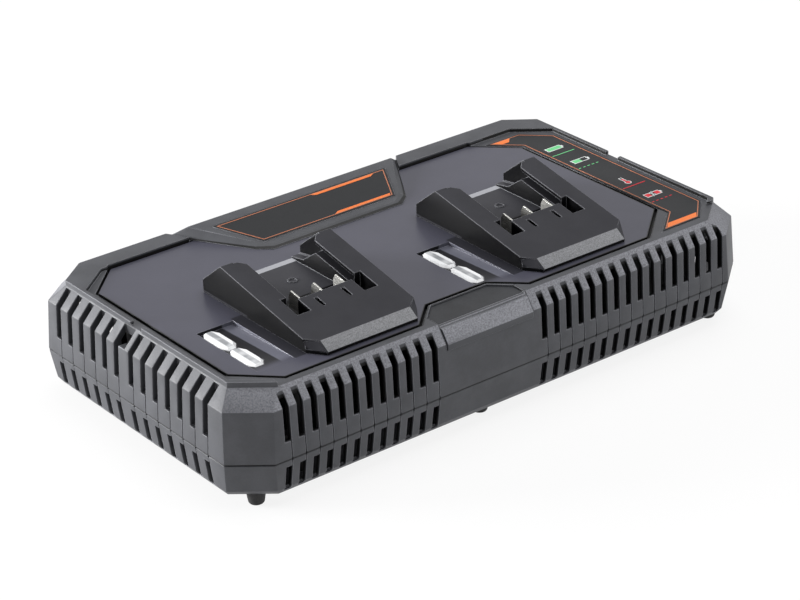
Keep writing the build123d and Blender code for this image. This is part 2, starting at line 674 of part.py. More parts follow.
def platform_cavity(dock_x):
    """The space under a dock's front platform, open below."""
    rear, front = BAY_FRONT_Y - RISER_WALL, DOCK_TOP_FRONT_Y + 3.0
    outline = [
        (rear, DECK), (rear, dock_top(rear) - PLATFORM_SKIN), (front, dock_top(front) - PLATFORM_SKIN), (front, DECK),
    ]
    return side_prism(outline, dock_x - WELL_HALF, dock_x + WELL_HALF)


def blade_places(dock_x):
    """Middle of each terminal blade in X."""
    return [dock_x + i * BLADE_PITCH for i in (-1, 0, 1)]


def terminal_outline():
    """Side outline of one terminal: the blade and the tail that the lead meets."""
    front = BAY_FRONT_Y - RISER_WALL - BLOCK_LENGTH / 2
    foot = DECK + DOCK_FLOOR + BLADE_FOOT_GAP
    top_front = dock_top(front) - PLATFORM_SKIN - BLADE_DROP
    high = dock_top(BLADE_REAR_Y) - BLADE_DROP
    top_bay = dock_top(BAY_FRONT_Y + 0.6) - BLADE_DROP
    return [
        (BLADE_REAR_Y, foot), (BLADE_REAR_Y, high - BLADE_CHAMFER), (BLADE_REAR_Y - BLADE_CHAMFER / 2, high - 0.3),
        (BAY_FRONT_Y + 0.6, top_bay), (BAY_FRONT_Y + 0.4, top_front), (front, top_front),
        (front, DECK - TAIL_SIZE), (front + TAIL_SIZE, DECK - TAIL_SIZE), (front + TAIL_SIZE, foot),
    ]


def make_terminals(dock_x):
    """Three flat blades, edge up, along the way the pack slides."""
    half = BLADE_THICKNESS / 2
    return together([side_prism(terminal_outline(), x - half, x + half) for x in blade_places(dock_x)])


def make_terminal_block(dock_x):
    """The moulded block under the platform that carries the blades."""
    rear = BAY_FRONT_Y - RISER_WALL
    front = rear - BLOCK_LENGTH
    top = dock_top(front) - PLATFORM_SKIN - 0.3
    half = WELL_HALF - FIT
    body = block(dock_x - half, dock_x + half, front, rear, PLATE_SEAT, top)
    body += block(dock_x - half, dock_x + half, front, rear, CEILING, PLATE_SEAT)
    for x in blade_places(dock_x):
        body -= side_prism(terminal_outline(), x - BLADE_THICKNESS / 2, x + BLADE_THICKNESS / 2)
        body -= post(x, lead_y(), CEILING - 1.0, DECK - TAIL_SIZE, LEAD_DIAMETER)
    return body


def lead_y():
    """Where the leads run down from the terminal tails."""
    return BAY_FRONT_Y - RISER_WALL - BLOCK_LENGTH / 2 + TAIL_SIZE / 2


def make_leads(dock_x):
    """The leads from a dock's terminals straight down to the board."""
    return together([post(x, lead_y(), BOARD_TOP, DECK - TAIL_SIZE, LEAD_DIAMETER) for x in blade_places(dock_x)])


def make_dock_screws():
    """Pan-head screws up through the roof and the plate into both docks."""
    screws = []
    for dock_x in (LEFT_DOCK_X, RIGHT_DOCK_X):
        for x, y in dock_screw_places(dock_x):
            shank = post(x, y, CEILING, DECK + 4.0, SCREW_DIAMETER)
            screws.append(shank + post(x, y, CEILING - SCREW_HEAD_HEIGHT, CEILING, SCREW_HEAD))
    return together(screws)


# ---------------------------------------------------------------- light pipes
def lens_centres():
    """Middle of the front and the rear light pipe in Y."""
    step = (LENS_LENGTH + LENS_GAP) / 2
    return [LENS_MIDDLE_Y - step, LENS_MIDDLE_Y + step]


def lens_outline(x, y, grow):
    """Plan outline of a light pipe: a long hexagon with blunt ends."""
    half, reach = LENS_WIDTH / 2 + grow, LENS_LENGTH / 2 + grow
    shoulder, blunt = reach - LENS_POINT, half * 0.45
    quarter = [(half, shoulder), (blunt, reach)]
    corners = quarter + [(-px, py) for px, py in reversed(quarter)]
    corners += [(-px, -py) for px, py in quarter] + [(px, -py) for px, py in reversed(quarter)]
    return [(x + px, y + py) for px, py in corners]


def lens_prism(dock_x, y, z0, z1, grow):
    """An upright prism of a light pipe's outline."""
    return prism(lens_outline(dock_x + LENS_OFFSET_X, y, grow), z0, z1)


def lens_stem(dock_x, y, z0, z1, grow):
    """The light pipe's stem."""
    x = dock_x + LENS_OFFSET_X
    half, reach = STEM_WIDTH / 2 + grow, STEM_LENGTH / 2 + grow
    return block(x - half, x + half, y - reach, y + reach, z0, z1)


def make_lens(dock_x, y):
    """A clear light pipe: bevelled head on the plate, stem down to the indicator board."""
    x = dock_x + LENS_OFFSET_X
    top = DECK + LENS_PROUD
    head = lens_prism(dock_x, y, PLATE_SEAT, top - LENS_CHAMFER, 0.0)
    low = [(px, py, top - LENS_CHAMFER) for px, py in lens_outline(x, y, 0.0)]
    high = [(px, py, top) for px, py in lens_outline(x, y, -LENS_CHAMFER)]
    head += ruled_solid(low, high)
    return head + lens_stem(dock_x, y, indicator_board_top() + 1.2, PLATE_SEAT, 0.0)


def indicator_board_top():
    """Level of the indicator boards' upper face."""
    return CEILING - 6.0


def indicator_posts():
    """Posts under the roof that carry the indicator boards."""
    places = []
    for dock_x in (LEFT_DOCK_X, RIGHT_DOCK_X):
        x = dock_x + LENS_OFFSET_X
        places += [(x, LENS_MIDDLE_Y), (x, LENS_MIDDLE_Y + LENS_LENGTH + LENS_GAP + 1.0)]
    return places


def make_indicator_board(dock_x):
    """A narrow board under two light pipes."""
    x = dock_x + LENS_OFFSET_X
    top = indicator_board_top()
    y0 = LENS_MIDDLE_Y - LENS_LENGTH
    y1 = LENS_MIDDLE_Y + LENS_LENGTH + LENS_GAP + 4.0
    board = block(x - 5.0, x + 5.0, y0, y1, top - BOARD_THICKNESS, top)
    for px, py in indicator_posts():
        board -= post(px, py, top - BOARD_THICKNESS, top, 2.0 + 2 * FIT)
    return board


def make_indicator_leds():
    """Two small emitters under each light pipe."""
    top = indicator_board_top()
    leds = []
    for dock_x in (LEFT_DOCK_X, RIGHT_DOCK_X):
        x = dock_x + LENS_OFFSET_X
        for y in lens_centres():
            leds += [block(x - 1.4, x + 1.4, y + s - 1.0, y + s + 1.0, top, top + 1.2) for s in (-3.0, 3.0)]
    return together(leds)


def make_indicator_screws():
    """Screws that hold the indicator boards to the posts."""
    low = indicator_board_top() - BOARD_THICKNESS
    screws = []
    for x, y in indicator_posts():
        screws.append(post(x, y, low, CEILING - 2.0, 2.0) + post(x, y, low - 1.4, low, 3.8))
    return together(screws)


# ---------------------------------------------------------------- bezel, labels and badge
def bezel_outline(rear_half, front_half, rear_y, front_y):
    """Plan outline of the bezel: a trapezium with blunt front corners."""
    lean = (rear_half - front_half) / (rear_y - front_y)
    side = front_half + BEZEL_CORNER * lean + BEZEL_BLUNT
    corners = [(rear_half, rear_y), (side, front_y + BEZEL_CORNER), (front_half - BEZEL_BLUNT, front_y)]
    return [(BEZEL_X + x, y) for x, y in corners] + [(BEZEL_X - x, y) for x, y in reversed(corners)]


def bezel_rear_y():
    """The casing's rear edge at deck level, where the bezel ends."""
    return HALF_Y - RIM_INSET_Y


def bezel_base():
    """Plan outline of the bezel's foot."""
    return bezel_outline(BEZEL_BASE_REAR_HALF, BEZEL_BASE_FRONT_HALF, bezel_rear_y(), BEZEL_FRONT_Y)


def bezel_face(y):
    """Height of the bezel's sloping face at y."""
    return DECK + BEZEL_REAR_HEIGHT - BEZEL_SLOPE * (BEZEL_TOP_REAR_Y - y)


def make_rear_bezel():
    """The raised housing behind the docks, its face tilted to the front."""
    face = bezel_outline(BEZEL_TOP_REAR_HALF, BEZEL_TOP_FRONT_HALF, BEZEL_TOP_REAR_Y, BEZEL_TOP_FRONT_Y)
    bezel = ruled_solid([(x, y, DECK) for x, y in bezel_base()], [(x, y, bezel_face(y)) for x, y in face])
    rear, front = BEZEL_TOP_REAR_Y - 1.5, BEZEL_TOP_FRONT_Y + 14.0
    hollow = [(rear, DECK), (rear, bezel_face(rear) - 1.8), (front, bezel_face(front) - 1.8), (front, DECK)]
    half = BEZEL_TOP_FRONT_HALF + 4.0
    bezel -= side_prism(hollow, BEZEL_X - half, BEZEL_X + half)
    return bezel - nameplate_solid(-LABEL_THICKNESS / 2, TALL, FIT)


def nameplate_solid(low, high, grow):
    """A plate between two offsets from the bezel's face."""
    rear, front = NAMEPLATE_REAR_Y + grow, NAMEPLATE_FRONT_Y - grow
    plan = [
        (NAMEPLATE_REAR_HALF + grow, rear), (NAMEPLATE_FRONT_HALF + grow, front),
        (-NAMEPLATE_FRONT_HALF - grow, front), (-NAMEPLATE_REAR_HALF - grow, rear),
    ]
    corners = [(BEZEL_X + x, y) for x, y in plan]
    return ruled_solid([(x, y, bezel_face(y) + low) for x, y in corners],
                       [(x, y, bezel_face(y) + high) for x, y in corners])


def make_nameplate():
    """The bare plate on the bezel's face."""
    return nameplate_solid(-LABEL_THICKNESS / 2, LABEL_THICKNESS / 2, 0.0)


def make_status_label():
    """The indicator legend strip on the right of the deck."""
    return prism(status_outline(), DECK - LABEL_THICKNESS / 2, DECK + LABEL_THICKNESS / 2)


# ---------------------------------------------------------------- feet and screws
def make_feet():
    """Six rubber feet pushed into the floor."""
    feet = []
    for x, y in FOOT_PLACES:
        cone = Cone(FOOT_TIP_DIAMETER / 2, FOOT_DIAMETER / 2, FOOT_HEIGHT,
                    align=(Align.CENTER, Align.CENTER, Align.MIN))
        cone = fillet(cone.edges().sort_by(Axis.Z)[0], 1.5)
        foot = Pos(x, y, 0) * cone
        foot += post(x, y, FOOT_HEIGHT, INNER_FLOOR, FOOT_STEM)
        foot += post(x, y, INNER_FLOOR, INNER_FLOOR + 1.2, FOOT_STEM + 2 * FOOT_LIP)
        feet.append(foot)
    return together(feet)


def make_housing_screws():
    """Six long screws up through the lower shell into the upper bosses."""
    seat = UNDERSIDE + SCREW_HEAD_HEIGHT + 0.4
    screws = []
    for x, y in BOSS_PLACES:
        shank = post(x, y, seat, SEAM + HOUSING_SCREW_LENGTH - 4.0, SCREW_DIAMETER)
        screws.append(shank + post(x, y, seat - SCREW_HEAD_HEIGHT, seat, SCREW_HEAD))
    return together(screws)


# ---------------------------------------------------------------- board and the parts on it
def board_places():
    """The board's four screws."""
    half_x, half_y = BOARD_LENGTH / 2 - 6.0, BOARD_WIDTH / 2 - 6.0
    return [(BOARD_X + sx * half_x, sy * half_y) for sx in (-1, 1) for sy in (-1, 1)]


def make_main_board():
    """The circuit board that carries both charging converters."""
    x0, x1 = BOARD_X - BOARD_LENGTH / 2, BOARD_X + BOARD_LENGTH / 2
    board = block(x0, x1, -BOARD_WIDTH / 2, BOARD_WIDTH / 2, BOARD_SEAT, BOARD_TOP)
    for x, y in board_places():
        board -= post(x, y, BOARD_SEAT, BOARD_TOP, SCREW_DIAMETER + 2 * FIT)
    return board


def make_board_screws():
    """Four screws that hold the board."""
    screws = []
    for x, y in board_places():
        shank = post(x, y, INNER_FLOOR + 0.8, BOARD_TOP, SCREW_DIAMETER)
        screws.append(shank + post(x, y, BOARD_TOP, BOARD_TOP + SCREW_HEAD_HEIGHT, SCREW_HEAD))
    return together(screws)


def standing(place, size):
    """A box that stands on the board, centred on a place."""
    (x, y), (length, width, height) = place, size
    return block(x - length / 2, x + length / 2, y - width / 2, y + width / 2, BOARD_TOP, BOARD_TOP + height)


def make_transformer_cores():
    """Two ferrite cores, each a closed frame with a middle leg."""
    cores = []
    for x in (LEFT_DOCK_X, RIGHT_DOCK_X):
        z0 = BOARD_TOP + TRANSFORMER_STANDOFF
        core = block(x - CORE_LENGTH / 2, x + CORE_LENGTH / 2, TRANSFORMER_Y - CORE_LEG / 2,
                     TRANSFORMER_Y + CORE_LEG / 2, z0, z0 + CORE_HEIGHT)
        for side in (-1, 1):
            near, far = sorted((x + side * CORE_LEG / 2, x + side * (CORE_LENGTH / 2 - CORE_LEG / 2)))
            core -= block(near, far, -TALL, TALL, z0 + CORE_YOKE, z0 + CORE_HEIGHT - CORE_YOKE)
        cores.append(core)
    return together(cores)


def make_transformer_windings():
    """The wound bobbins around the middle legs, standing on the board."""
    windings = []
    for x in (LEFT_DOCK_X, RIGHT_DOCK_X):
        z0, half = BOARD_TOP + TRANSFORMER_STANDOFF, CORE_LENGTH / 2 - CORE_LEG / 2 - FIT
        y0, y1 = TRANSFORMER_Y - CORE_WIDTH / 2, TRANSFORMER_Y + CORE_WIDTH / 2
        low, high = z0 + CORE_YOKE + FIT, z0 + CORE_HEIGHT - CORE_YOKE - FIT
        coil = block(x - half, x + half, y0, y1, low, high)
        coil -= block(x - CORE_LEG / 2, x + CORE_LEG / 2, TRANSFORMER_Y - CORE_LEG / 2,
                      TRANSFORMER_Y + CORE_LEG / 2, 0, TALL)
        for y in (y0, y1 - CORE_YOKE):
            coil += block(x - half, x + half, y, y + CORE_YOKE, BOARD_TOP, z0 + CORE_YOKE + 1.0)
        windings.append(coil)
    return together(windings)


def make_mains_choke():
    """The line filter choke, a square ring standing on the board."""
    x, length, height = CHOKE_PLACE[0], CHOKE_SIZE[0], CHOKE_SIZE[2]
    half = length / 2 - CHOKE_BAR
    window = block(x - half, x + half, -TALL, TALL, BOARD_TOP + CHOKE_BAR, BOARD_TOP + height - CHOKE_BAR)
    return standing(CHOKE_PLACE, CHOKE_SIZE) - window


def make_fuse():
    """The mains fuse across the board between its two clips."""
    x, y = FUSE_PLACE
    tube = Pos(x, y, BOARD_TOP + FUSE_HEIGHT) * Rot(0, 90, 0) * Cylinder(FUSE_RADIUS, FUSE_LENGTH)
    for side in (-1, 1):
        tube += standing((x + side * FUSE_CLIP_SPACING / 2, y), (*FUSE_CLIP_SIZE, FUSE_HEIGHT))
    return tube


def make_bulk_capacitors():
    """Two mains smoothing capacitors."""
    return together([post(x, y, BOARD_TOP, BOARD_TOP + BULK_HEIGHT, BULK_DIAMETER) for x, y in BULK_PLACES])


def make_output_capacitors():
    """Two low voltage capacitors beside each transformer."""
    cans = []
    for dock_x in (LEFT_DOCK_X, RIGHT_DOCK_X):
        for side in (-1, 1):
            x = dock_x + side * OUTPUT_SPACING / 2
            cans.append(post(x, OUTPUT_Y, BOARD_TOP, BOARD_TOP + OUTPUT_HEIGHT, OUTPUT_DIAMETER))
    return together(cans)


def make_heatsinks():
    """Two finned aluminium plates standing on the board."""
    sinks = []
    y0, top = HEATSINK_FRONT_Y, BOARD_TOP + HEATSINK_HEIGHT
    step = (HEATSINK_LENGTH - FIN_THICKNESS) / (HEATSINK_FINS - 1)
    for x in HEATSINK_X:
        sink = block(x, x + HEATSINK_PLATE, y0, y0 + HEATSINK_LENGTH, BOARD_TOP, top)
        for i in range(HEATSINK_FINS):
            y = y0 + i * step
            sink += block(x + HEATSINK_PLATE, x + HEATSINK_REACH, y, y + FIN_THICKNESS, BOARD_TOP, top)
        sinks.append(sink)
    return together(sinks)


def make_power_transistors():
    """Flat power devices against the heatsinks."""
    half = TRANSISTOR_SIZE[0] / 2
    return together([standing((x - half, y), TRANSISTOR_SIZE) for x in HEATSINK_X for y in TRANSISTOR_Y])


def make_bridge_rectifier():
    """The bridge rectifier, standing on edge."""
    return standing(RECTIFIER_PLACE, RECTIFIER_SIZE)


def make_control_chips():
    """The two controllers and the supply chip."""
    return together([standing((x, y), (side, side, CHIP_HEIGHT)) for x, y, side in CHIP_PLACES])


# ---------------------------------------------------------------- mains inlet
def inlet_face_y():
    """The inlet's outer face, just inside the rear wall's outer face."""
    slope = WALL_DRAFT_Y / WALL_HEIGHT
    return HALF_Y - slope * (SOCKET_CENTRE_Z + SOCKET_HEIGHT - SEAM) - 0.3


def make_mains_inlet():
    """The figure-eight inlet: a nose in the rear wall and a body that stands on the floor."""
    x, face = INLET_X, inlet_face_y()
    wall_inside = HALF_Y - WALL_DRAFT_Y - WALL - 0.3
    body = block(x - INLET_WIDTH / 2, x + INLET_WIDTH / 2, face - INLET_DEPTH, wall_inside, SEAM, INLET_TOP)
    low_inside = HALF_Y - BASE_EDGE_Y - WALL - 0.3
    body += block(x - INLET_WIDTH / 2, x + INLET_WIDTH / 2, face - INLET_DEPTH, low_inside, INNER_FLOOR, SEAM)
    half, tall = SOCKET_WIDTH / 2 + 2.0 - FIT, SOCKET_HEIGHT / 2 + 2.0 - FIT
    body += block(x - half, x + half, wall_inside, face, SOCKET_CENTRE_Z - tall, SOCKET_CENTRE_Z + tall)
    mouth = Plane((x, face, SOCKET_CENTRE_Z), x_dir=(1, 0, 0), z_dir=(0, 1, 0))
    body -= extrude(mouth * SlotOverall(SOCKET_WIDTH, SOCKET_HEIGHT), amount=-SOCKET_DEPTH)
    for pin_x in pin_places():
        body -= inlet_pin(pin_x)
    return body


def pin_places():
    """The two contact pins in X."""
    return [INLET_X - PIN_PITCH / 2, INLET_X + PIN_PITCH / 2]


def inlet_pin(x):
    """A contact pin from the socket through the body's back."""
    back = inlet_face_y() - INLET_DEPTH
    front = inlet_face_y() - SOCKET_DEPTH + PIN_LENGTH
    rod = Cylinder(PIN_DIAMETER / 2, front - back, align=(Align.CENTER, Align.CENTER, Align.MIN))
    return Pos(x, back, SOCKET_CENTRE_Z) * Rot(-90, 0, 0) * rod


def make_inlet_pins():
    """Both contact pins."""
    return together([inlet_pin(x) for x in pin_places()])


def make_inlet_leads():
    """Two leads from the inlet's pins, back and down to the board."""
    leads = []
    start = inlet_face_y() - INLET_DEPTH
    for x in pin_places():
        run = start - (BOARD_WIDTH / 2 - 6.0)
        route = [(x, start, SOCKET_CENTRE_Z), (x, start - run, SOCKET_CENTRE_Z), (x, start - run, BOARD_TOP)]
        path = FilletPolyline(*route, radius=0.45 * run)
        section = Plane(route[0], z_dir=(0, -1, 0)) * Circle(LEAD_DIAMETER / 2)
        leads.append(sweep(section, path=path))
    return together(leads)


# ---------------------------------------------------------------- fan
def fan_place(solid):
    """Turns a fan piece from its own axis, Z, to lie along X at the left end."""
    return Pos(FAN_X, 0, INNER_FLOOR + FAN_SIZE / 2) * Rot(0, 90, 0) * solid


def make_fan_frame():
    """The square frame, with four struts that carry the bearing pin."""
    frame = Box(FAN_SIZE, FAN_SIZE, FAN_DEPTH) - Cylinder(FAN_BORE / 2, FAN_DEPTH)
    low = -FAN_DEPTH / 2
    lift = Pos(0, 0, low + FAN_PLATE / 2)
    frame += lift * Cylinder(FAN_HUB / 2, FAN_PLATE)
    for angle in (45, 135):
        frame += lift * Rot(0, 0, angle) * Box(FAN_BORE + 4.0, 2.4, FAN_PLATE)
    pin = Cylinder(FAN_PIN / 2, FAN_DEPTH - 3.0, align=(Align.CENTER, Align.CENTER, Align.MIN))
    frame += Pos(0, 0, low) * pin
    for sx in (-1, 1):
        for sy in (-1, 1):
            frame -= Pos(sx * 16.0, sy * 16.0, 0) * Cylinder(1.7, FAN_DEPTH)
    return fan_place(frame)


def make_fan_rotor():
    """The hub with seven pitched blades, which turns on the frame's pin."""
    low = -FAN_DEPTH / 2 + FAN_PLATE + FAN_END_GAP
    height = FAN_DEPTH / 2 - 0.8 - low
    base = (Align.CENTER, Align.CENTER, Align.MIN)
    rotor = Pos(0, 0, low) * Cylinder(FAN_HUB / 2, height, align=base)
    length = FAN_BLADE_TIP - FAN_HUB / 2 + 1.5
    middle = (FAN_BLADE_TIP + FAN_HUB / 2 - 1.5) / 2
    for i in range(FAN_BLADES):
        blade = Pos(middle, 0, low + height / 2) * Rot(38, 0, 0) * Box(length, 1.1, height * 0.95)
        rotor += Rot(0, 0, i * 360 / FAN_BLADES) * blade
    ring = Pos(0, 0, low) * Cylinder(FAN_BLADE_TIP, height, align=base)
    rotor = rotor & ring
    rotor -= Pos(0, 0, low) * Cylinder(FAN_PIN / 2 + FAN_PIN_GAP, FAN_DEPTH, align=base)
    return fan_place(rotor)


# ---------------------------------------------------------------- writing
FRONT_LENS_Y, REAR_LENS_Y = lens_centres()
NODES = {
    "lower_housing": make_lower_housing,
    "upper_housing": make_upper_housing,
    "deck_plate": make_deck_plate,
    "left_dock": lambda: make_dock(LEFT_DOCK_X),
    "right_dock": lambda: make_dock(RIGHT_DOCK_X),
    "left_terminal_block": lambda: make_terminal_block(LEFT_DOCK_X),
    "right_terminal_block": lambda: make_terminal_block(RIGHT_DOCK_X),
    "left_terminals": lambda: make_terminals(LEFT_DOCK_X),
    "right_terminals": lambda: make_terminals(RIGHT_DOCK_X),
    "left_terminal_leads": lambda: make_leads(LEFT_DOCK_X),
    "right_terminal_leads": lambda: make_leads(RIGHT_DOCK_X),
    "dock_screws": make_dock_screws,
    "left_front_light_pipe": lambda: make_lens(LEFT_DOCK_X, FRONT_LENS_Y),
    "left_rear_light_pipe": lambda: make_lens(LEFT_DOCK_X, REAR_LENS_Y),
    "right_front_light_pipe": lambda: make_lens(RIGHT_DOCK_X, FRONT_LENS_Y),
    "right_rear_light_pipe": lambda: make_lens(RIGHT_DOCK_X, REAR_LENS_Y),
    "left_indicator_board": lambda: make_indicator_board(LEFT_DOCK_X),
    "right_indicator_board": lambda: make_indicator_board(RIGHT_DOCK_X),
    "indicator_leds": make_indicator_leds,
    "indicator_screws": make_indicator_screws,
    "rear_bezel": make_rear_bezel,
    "nameplate": make_nameplate,
    "status_label": make_status_label,
    "front_badge": lambda: badge_solid(0.0),
    "feet": make_feet,
    "housing_screws": make_housing_screws,
    "main_board": make_main_board,
    "board_screws": make_board_screws,
    "transformer_cores": make_transformer_cores,
    "transformer_windings": make_transformer_windings,
    "mains_choke": make_mains_choke,
    "fuse": make_fuse,
    "bulk_capacitors": make_bulk_capacitors,
    "output_capacitors": make_output_capacitors,
    "heatsinks": make_heatsinks,
    "power_transistors": make_power_transistors,
    "bridge_rectifier": make_bridge_rectifier,
    "control_chips": make_control_chips,
    "mains_inlet": make_mains_inlet,
    "inlet_pins": make_inlet_pins,
    "inlet_leads": make_inlet_leads,
    "fan_frame": make_fan_frame,
    "fan_rotor": make_fan_rotor,
}

os.makedirs("parts", exist_ok=True)
for node, make in NODES.items():
    export_step(make(), f"parts/{node}.step")
    print(node)
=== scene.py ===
"""Dresses a two-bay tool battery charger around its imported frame."""

from __future__ import annotations

import json
import logging
import math
from collections.abc import Mapping, Sequence
from dataclasses import dataclass, field
from enum import Enum
from functools import cached_property

import bmesh
import bpy
from mathutils import Matrix, Vector


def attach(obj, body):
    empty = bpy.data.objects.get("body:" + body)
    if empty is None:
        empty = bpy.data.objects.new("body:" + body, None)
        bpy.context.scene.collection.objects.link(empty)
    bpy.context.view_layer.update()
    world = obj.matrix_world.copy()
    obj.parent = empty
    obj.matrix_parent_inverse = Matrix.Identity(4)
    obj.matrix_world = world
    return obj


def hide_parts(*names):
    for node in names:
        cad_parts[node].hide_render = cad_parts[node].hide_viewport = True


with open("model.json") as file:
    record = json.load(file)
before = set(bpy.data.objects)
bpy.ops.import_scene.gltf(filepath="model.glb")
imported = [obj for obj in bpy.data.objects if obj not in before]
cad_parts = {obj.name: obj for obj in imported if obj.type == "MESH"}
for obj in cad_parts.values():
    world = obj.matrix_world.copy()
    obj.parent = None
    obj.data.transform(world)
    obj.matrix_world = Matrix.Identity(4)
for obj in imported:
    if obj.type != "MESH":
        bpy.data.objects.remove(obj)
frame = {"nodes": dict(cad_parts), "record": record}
LOG = logging.getLogger("charger")

MM = 0.001
TO_MM = 1000.0
BODY = "charger"
Flat = tuple[float, float]
Point = tuple[float, float, float]
Colour = tuple[float, float, float, float]
SLOTS: dict[str, str] = {part["node"]: part["material_slot"] for part in frame["record"]["subparts"]}


class Sign(Enum):
    """What a legend row shows."""

    FULL = "full battery"
    HALF = "half battery"
    HOT = "thermometer"
    CROSSED = "crossed battery"


def paint(red: float, green: float, blue: float) -> Colour:
    """Turns screen levels into a linear colour.

    Args:
        red: Red level, 0 to 255.
        green: Green level, 0 to 255.
        blue: Blue level, 0 to 255.

    Returns:
        The linear colour with full opacity.
    """
    levels = [channel / 255 for channel in (red, green, blue)]
    linear = [v / 12.92 if v <= 0.04045 else ((v + 0.055) / 1.055) ** 2.4 for v in levels]
    return (linear[0], linear[1], linear[2], 1.0)


def scaled(colour: Colour, share: float, lift: float = 0.0) -> Colour:
    """Returns a colour times a share, plus a lift."""
    red, green, blue = (min(1.0, channel * share + lift) for channel in colour[:3])
    return (red, green, blue, 1.0)


# ------------------------------------------------------------------ shader graphs
class Wire:
    """A number on a shader socket that can be used in plain arithmetic."""

    def __init__(self, graph: Tree, socket: bpy.types.NodeSocket) -> None:
        """Wraps a graph's output socket."""
        self.graph = graph
        self.socket = socket

    def _maths(self, operation: str, *values: Number) -> Wire:
        """Adds one Math node and returns its result."""
        node = self.graph.node("ShaderNodeMath", {"operation": operation}, dict(enumerate(values)))
        return Wire(self.graph, node.outputs[0])

    def __add__(self, other: Number) -> Wire:
        """Returns the sum."""
        return self._maths("ADD", self, other)

    def __radd__(self, other: Number) -> Wire:
        """Returns the sum, with the number first."""
        return self._maths("ADD", other, self)

    def __sub__(self, other: Number) -> Wire:
        """Returns the difference."""
        return self._maths("SUBTRACT", self, other)

    def __rsub__(self, other: Number) -> Wire:
        """Returns the difference, with the number first."""
        return self._maths("SUBTRACT", other, self)

    def __mul__(self, other: Number) -> Wire:
        """Returns the product."""
        return self._maths("MULTIPLY", self, other)

    def __rmul__(self, other: Number) -> Wire:
        """Returns the product, with the number first."""
        return self._maths("MULTIPLY", other, self)

    def __abs__(self) -> Wire:
        """Returns the size without its sign."""
        return self._maths("ABSOLUTE", self)

    def __lt__(self, other: Number) -> Wire:
        """Returns 1 where this is less, else 0."""
        return self._maths("LESS_THAN", self, other)

    def __gt__(self, other: Number) -> Wire:
        """Returns 1 where this is more, else 0."""
        return self._maths("GREATER_THAN", self, other)

    def wave(self) -> Wire:
        """Returns the sine."""
        return self._maths("SINE", self)

    def least(self, other: Number) -> Wire:
        """Returns the smaller of two."""
        return self._maths("MINIMUM", self, other)

    def most(self, other: Number) -> Wire:
        """Returns the larger of two."""
        return self._maths("MAXIMUM", self, other)

    def inside(self, low: float, high: float) -> Wire:
        """Returns 1 between two limits, else 0."""
        return (self > low) * (self < high)

    def off(self, places: Flat) -> Wire:
        """Returns the distance from the nearer of two places."""
        return abs(self - places[0]).least(abs(self - places[1]))

    def ease(self, low: float, high: float) -> Wire:
        """Goes smoothly from 0 at one limit to 1 at the other.

        Args:
            low: Where the result is 0.
            high: Where the result is 1.

        Returns:
            The eased value.
        """
        limits = {"Value": self, "From Min": low, "From Max": high}
        node = self.graph.node("ShaderNodeMapRange", {"interpolation_type": "SMOOTHSTEP"}, limits)
        return Wire(self.graph, node.outputs["Result"])


Number = Wire | float | int


class Tree:
    """A shader tree and the one way in which its nodes are added."""

    def __init__(self, holder: bpy.types.Material | bpy.types.World) -> None:
        """Starts an empty tree.

        Args:
            holder: The material or world that it belongs to.
        """
        holder.use_nodes = True
        self.tree = holder.node_tree
        self.tree.nodes.clear()

    def connect(self, node: bpy.types.Node, values: Mapping[str | int, object]) -> None:
        """Sets or links a node's sockets.

        Args:
            node: The node.
            values: Values or links by socket.
        """
        for key, value in values.items():
            source = value.socket if isinstance(value, Wire) else value
            if isinstance(source, bpy.types.NodeSocket):
                self.tree.links.new(source, node.inputs[key])
            else:
                node.inputs[key].default_value = source

    def node(
        self,
        kind: str,
        settings: Mapping[str, object] | None = None,
        values: Mapping[str | int, object] | None = None,
    ) -> bpy.types.Node:
        """Adds a node.

        Args:
            kind: The node's type.
            settings: Its own settings, set first.
            values: Values or links by socket.

        Returns:
            The new node.
        """
        node = self.tree.nodes.new(kind)
        for key, value in (settings or {}).items():
            setattr(node, key, value)
        self.connect(node, values or {})
        return node

    def seen(self) -> Wire:
        """Gives 1 for what the camera sees, straight, mirrored or through clear plastic.

        Returns:
            The mask.
        """
        rays = self.node("ShaderNodeLightPath").outputs
        camera, glossy = Wire(self, rays["Is Camera Ray"]), Wire(self, rays["Is Glossy Ray"])
        return camera.most(glossy).most(Wire(self, rays["Is Transmission Ray"]))


